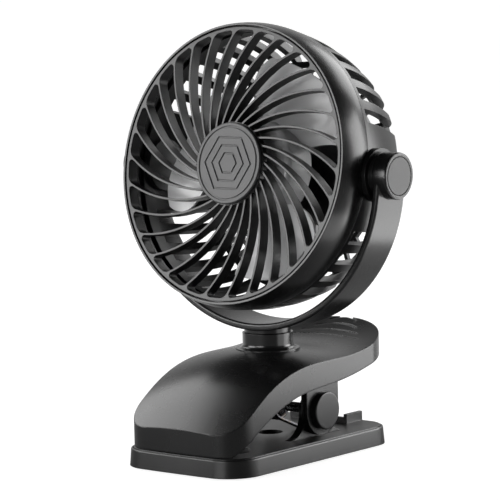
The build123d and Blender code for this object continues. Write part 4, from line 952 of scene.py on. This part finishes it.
@dataclass
class CrossScrews:
    """Small round-head screws with a cross recess.

    The arm, slot and rim shares are of the head's radius, floor_share narrows the recess's floor,
    and the depths and drops are shares of the head's height.
    """

    name: str
    node: str
    body: Body
    frames: list[Matrix]
    head_radius: float
    head_height: float
    shank_radius: float
    shank_length: float
    slot: str
    arm_share: float = 0.62
    slot_share: float = 0.13
    floor_share: float = 0.6
    recess_depth: float = 0.55
    recess_lip: float = 0.04
    rim_share: float = 0.9
    rim_drop: float = 0.1
    side_drop: float = 0.35

    def build(self) -> None:
        """Build every screw: domed head, recess and shank."""
        screws = Sculpt(self.name)
        for place in self.frames:
            self._one(screws, place)
        piece = screws.finish(Finish.SCREW)
        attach(piece, self.body.value)
        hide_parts(self.node)

    def _one(self, screws: Sculpt, place: Matrix) -> None:
        """Add one screw.

        Args:
            screws: the mesh that it goes into.
            place: frame whose Z the head faces along, with the head's top at its origin.
        """
        before = set(screws.mesh.verts)
        r, h = self.head_radius, self.head_height
        half, arm = r * self.slot_share, r * self.arm_share
        # the recess is a plus sign, and each of its corners is joined to one on the round rim
        plus = [
            (arm, -half), (arm, half), (half, half), (half, arm), (-half, arm), (-half, half),
            (-arm, half), (-arm, -half), (-half, -half), (-half, -arm), (half, -arm), (half, -half),
        ]
        new = screws.mesh.verts.new
        top = [new((x, y, -self.recess_lip * h)) for x, y in plus]
        floor = [new((x * self.floor_share, y * self.floor_share, -self.recess_depth * h)) for x, y in plus]
        screws.bridge(top, floor)
        screws.mesh.faces.new(floor)
        rays = [Vector(corner).normalized() for corner in plus]
        sections = (
            (r * self.rim_share, -self.rim_drop * h),
            (r, -self.side_drop * h),
            (r, -h),
            (self.shank_radius, -h),
            (self.shank_radius, -h - self.shank_length),
        )
        upper = top
        for radius, height in sections:
            ring = [new((radius * ray.x, radius * ray.y, height)) for ray in rays]
            screws.bridge(ring, upper)
            upper = ring
        screws.mesh.faces.new(list(reversed(upper)))
        local = Matrix.Scale(1 / MM, 4) @ place @ Matrix.Scale(MM, 4)
        fresh = [v for v in screws.mesh.verts if v not in before]
        bmesh.ops.transform(screws.mesh, matrix=local, verts=fresh)


@dataclass
class ClipBase:
    """Weighted foot of the clip: tray, top plate, feet and screws."""

    pad_bottom: float = 8.5
    pad_top: float = 9.95

    def build(self) -> None:
        """Build the grip pad and the spring."""
        pad = GripPad("lower_grip", "lower_jaw_pad", Body.BASE, self.pad_bottom, self.pad_top, ribs_up=True)
        pad.build()
        ClampSpring().build()

    def dress(self) -> None:
        """Dress the tray, plate, feet and screws."""
        dress("base_tray", Finish.BASE)
        dress("base_plate", Finish.PLATE)
        for side in ("left", "right"):
            dress(f"hinge_ear_{side}", Finish.PLATE)
        dress("rubber_feet", Finish.RUBBER, EdgeRound(0.2))
        dress("base_screws", Finish.SCREW, EdgeRound(0.15))


@dataclass
class UpperJaw:
    """Sprung jaw: shell with its thumb handle, collar, hinge pin and caps."""

    pad_bottom: float = 10.05
    pad_top: float = 11.9

    def build(self) -> None:
        """Build the grip pad under the nose."""
        pad = GripPad(
            "upper_grip", "upper_jaw_pad", Body.UPPER_JAW, self.pad_bottom, self.pad_top, ribs_up=False
        )
        pad.build()

    def dress(self) -> None:
        """Dress the shell, collar, pin and caps."""
        dress("clip_shell", Finish.SHELL)
        dress("swivel_collar", Finish.COLLAR)
        dress("hinge_pin", Finish.PIN, EdgeRound(0.2))
        for side in ("left", "right"):
            dress(f"hinge_cap_{side}", Finish.CAP)


@dataclass
class Yoke:
    """U-shaped arm that carries the head between its two knobs."""

    def dress(self) -> None:
        """Dress the arm, its caps and the fixing under the collar."""
        dress("yoke", Finish.YOKE)
        dress("swivel_washer", Finish.WASHER, EdgeRound(0.15))
        dress("swivel_screw", Finish.SCREW, EdgeRound(0.3))
        for side in ("left", "right"):
            dress(f"pivot_cap_{side}", Finish.CAP, EdgeRound(0.3, steps=3))


@dataclass
class FanHead:
    """Head of the fan: grille, badge, ring, guard, pivots and motor."""

    def dress(self) -> None:
        """Dress every piece of the head that doesn't turn."""
        dress("front_grille", Finish.GRILLE)
        dress("grille_badge", Finish.BADGE, EdgeRound(0.12))
        dress("head_ring", Finish.RING)
        dress("rear_guard", Finish.GUARD)
        dress("motor_can", Finish.MOTOR)
        for side in ("left", "right"):
            dress(f"pivot_screw_{side}", Finish.SCREW, EdgeRound(0.2))
            dress(f"pivot_washer_{side}", Finish.WASHER)
        for end in ("front", "rear"):
            dress(f"motor_{end}_bush", Finish.BUSH, EdgeRound(0.15))


@dataclass
class RearPod:
    """Round housing at the back of the head with the switch, port and battery."""

    rear: float = -43.0
    post_circle: float = 20.0
    post_angles: tuple[float, ...] = (90.0, 210.0, 330.0)

    def build(self) -> None:
        """Build the cover's screws with their cross recesses."""
        back = LAYOUT.head_frame(self.rear)
        flip = Matrix.Rotation(math.pi, 4, "X")
        frames = []
        for angle in map(math.radians, self.post_angles):
            post = Vector((math.cos(angle), math.sin(angle), 0.0)) * self.post_circle * MM
            frames.append(back @ Matrix.Translation(post) @ flip)
        CrossScrews(
            "cover_screws", "rear_screws", Body.HEAD, frames,
            head_radius=1.9, head_height=1.2, shank_radius=1.0, shank_length=7.0, slot="screw_steel",
        ).build()

    def dress(self) -> None:
        """Dress the cover, switch, port, lens, board and cell."""
        dress("rear_cover", Finish.COVER)
        dress("power_button", Finish.BUTTON)
        dress("charge_port", Finish.PORT)
        dress("status_lens", Finish.LENS)
        dress("circuit_board", Finish.BOARD)
        dress("battery_cell", Finish.CELL, EdgeRound(0.8, steps=4))


@dataclass
class Rotor:
    """Impeller and its shaft."""

    def dress(self) -> None:
        """Dress the blades, whose light grey colour is a painted reflection, and the shaft."""
        dress("impeller", Finish.BLADE)
        dress("motor_shaft", Finish.PIN, EdgeRound(0.15))


# ---------------------------------------------------------------- studio


@dataclass(frozen=True)
class Softbox:
    """Soft lamp that faces the object."""

    name: str
    place: Point
    size: tuple[float, float]
    radiance: float
    aim: Point = (0.0, 0.0, 0.11)

    def build(self) -> None:
        """Add the lamp, turned to its aim and hidden from the camera."""
        data = bpy.data.lights.new(self.name, "AREA")
        data.shape = "RECTANGLE"
        data.size, data.size_y = self.size
        data.energy = self.radiance * math.pi * self.size[0] * self.size[1]
        lamp = bpy.data.objects.new(self.name, data)
        lamp.location = self.place
        lamp.rotation_euler = (Vector(self.aim) - Vector(self.place)).to_track_quat("-Z", "Y").to_euler()
        lamp.visible_camera = False
        bpy.context.scene.collection.objects.link(lamp)


@dataclass
class Studio:
    """Pale floor before a white backdrop, dim air toward the front and soft lamps."""

    floor_radius: float = 12.0
    floor_sides: int = 96
    floor_colour: Colour = (0.36, 0.36, 0.36)
    fleck_colour: Colour = (0.3528, 0.3528, 0.3528)
    fleck_scale: float = 900.0
    floor_glow: float = 0.84
    glow_near: float = 0.26
    glow_far: float = 1.0
    near: float = 0.13
    far: float = 0.30
    backdrop: Point = (-0.64, 0.77, 0.0)
    backdrop_level: float = 0.6
    front_level: float = 0.08
    ceiling_level: float = 0.15
    backdrop_edge: tuple[float, float] = (0.35, 0.75)
    ceiling_edge: tuple[float, float] = (0.35, 0.7)
    lamps: tuple[Softbox, ...] = (
        Softbox("Right side panel", (0.145, 0.152, 0.055), (0.13, 0.104), 4.2, (0.0, 0.0, 0.055)),
        Softbox("Right low panel", (0.150, 0.035, 0.035), (0.10, 0.06), 1.8, (0.0, 0.0, 0.05)),
        Softbox("Right rear softbox", (0.67, 0.85, 0.30), (0.50, 0.56), 6.5),
        Softbox("Rear softbox", (0.02, 0.97, 0.63), (0.62, 0.40), 3.2),
        Softbox("Front left softbox", (-0.70, -0.83, 0.33), (0.70, 0.48), 7.0),
        Softbox("Front softbox", (0.02, -1.10, 0.24), (0.62, 0.36), 6.5),
        Softbox("Left overhead softbox", (-0.86, -0.08, 0.79), (0.75, 0.65), 3.6),
    )

    def build(self) -> None:
        """Build the floor, the world and the lamps."""
        self._floor()
        self._world()
        for lamp in self.lamps:
            lamp.build()
        log.info("built studio")

    def _behind(self, graph: Graph, way: bpy.types.NodeSocket) -> bpy.types.NodeSocket:
        """Level of a direction: full toward the backdrop, dim toward the front.

        Args:
            graph: the graph that the nodes go into.
            way: the direction, of any length.

        Returns:
            The level's socket.
        """
        ahead = graph.add("ShaderNodeVectorMath", {0: way}, operation="NORMALIZE").outputs["Vector"]
        dot = graph.add("ShaderNodeVectorMath", {0: ahead, 1: self.backdrop}, operation="DOT_PRODUCT")
        return graph.ramp(dot.outputs["Value"], *self.backdrop_edge, self.front_level, self.backdrop_level)

    def _floor(self) -> None:
        """Lay a large round floor that reads white and keeps a soft shadow."""
        disc = bmesh.new()
        bmesh.ops.create_circle(disc, cap_ends=True, segments=self.floor_sides, radius=self.floor_radius)
        data = bpy.data.meshes.new("studio_floor")
        disc.to_mesh(data)
        disc.free()
        floor = bpy.data.objects.new("studio_floor", data)
        bpy.context.scene.collection.objects.link(floor)
        material = bpy.data.materials.new("Studio floor")
        graph = fresh_graph(material)
        place = graph.object_place()
        away = graph.add("ShaderNodeVectorMath", {0: place}, operation="LENGTH").outputs["Value"]
        mirrored = graph.math("MULTIPLY", graph.ramp(away, self.near, self.far), self._behind(graph, place))
        glossy = graph.add("ShaderNodeLightPath").outputs["Is Glossy Ray"]
        white = graph.ramp(away, self.glow_near, self.glow_far, self.floor_glow, 1.0)
        glow = graph.math(
            "MAXIMUM",
            graph.math("MULTIPLY", graph.background_rays(), white),
            graph.math("MULTIPLY", mirrored, glossy),
        )
        paper = graph.noise(place, self.fleck_scale, detail=3.0)
        tone = graph.mix(paper, opaque(self.floor_colour), opaque(self.fleck_colour))
        matt = graph.add("ShaderNodeBsdfDiffuse", {"Color": tone})
        light = graph.add("ShaderNodeEmission", {"Strength": glow})
        both = graph.add("ShaderNodeAddShader", {0: matt.outputs[0], 1: light.outputs[0]})
        graph.add("ShaderNodeOutputMaterial", {"Surface": both.outputs[0]})
        data.materials.append(material)

    def _world(self) -> None:
        """White air to the eye, and in reflections a white backdrop behind the fan under a dim ceiling."""
        world = bpy.data.worlds.new("Studio air")
        bpy.context.scene.world = world
        graph = fresh_graph(world)
        way = graph.add("ShaderNodeTexCoord").outputs["Generated"]
        height = graph.add("ShaderNodeSeparateXYZ", {0: way}).outputs["Z"]
        tall = graph.ramp(height, *self.ceiling_edge, 1.0, self.ceiling_level)
        mirrored = graph.math("MULTIPLY", tall, self._behind(graph, way))
        level = graph.math("MAXIMUM", mirrored, graph.background_rays())
        air = graph.add("ShaderNodeBackground", {"Color": (1.0, 1.0, 1.0, 1.0), "Strength": level})
        graph.add("ShaderNodeOutputWorld", {"Surface": air.outputs[0]})


@dataclass(frozen=True)
class PhotoCamera:
    """Camera at the photograph's viewing angle."""

    place: Point = (0.91071, -1.10472, 0.26702)
    azimuth: float = 39.70
    elevation: float = 6.645
    roll: float = -1.377
    focal_pixels: float = 2962.0
    frame_pixels: float = 500.0
    sensor_width: float = 36.0
    farthest: float = 50.0

    def build(self) -> None:
        """Add the camera and make it the scene's own."""
        a, e, r = (math.radians(v) for v in (self.azimuth, self.elevation, self.roll))
        back = Vector((math.sin(a) * math.cos(e), -math.cos(a) * math.cos(e), math.sin(e)))
        right = Vector((math.cos(a), math.sin(a), 0.0))
        up = back.cross(right)
        right, up = right * math.cos(r) + up * math.sin(r), up * math.cos(r) - right * math.sin(r)
        data = bpy.data.cameras.new("Photo camera")
        data.sensor_width = self.sensor_width
        data.lens = data.sensor_width * self.focal_pixels / self.frame_pixels
        data.clip_end = self.farthest
        camera = bpy.data.objects.new("Photo camera", data)
        turn = Matrix((right, up, back)).transposed().to_4x4()
        camera.matrix_world = Matrix.Translation(Vector(self.place)) @ turn
        bpy.context.scene.collection.objects.link(camera)
        bpy.context.scene.camera = camera


def main() -> None:
    """Build and dress the fan, then the studio and the camera."""
    logging.basicConfig(level=logging.INFO, format="%(name)s: %(message)s")
    bpy.context.scene.view_settings.view_transform = "Standard"
    base, jaw, yoke, head, pod, rotor = ClipBase(), UpperJaw(), Yoke(), FanHead(), RearPod(), Rotor()
    for assembly in (base, jaw, pod):
        assembly.build()
    for assembly in (base, jaw, yoke, head, pod, rotor):
        assembly.dress()
    Studio().build()
    PhotoCamera().build()


if __name__ == "__main__":
    main()
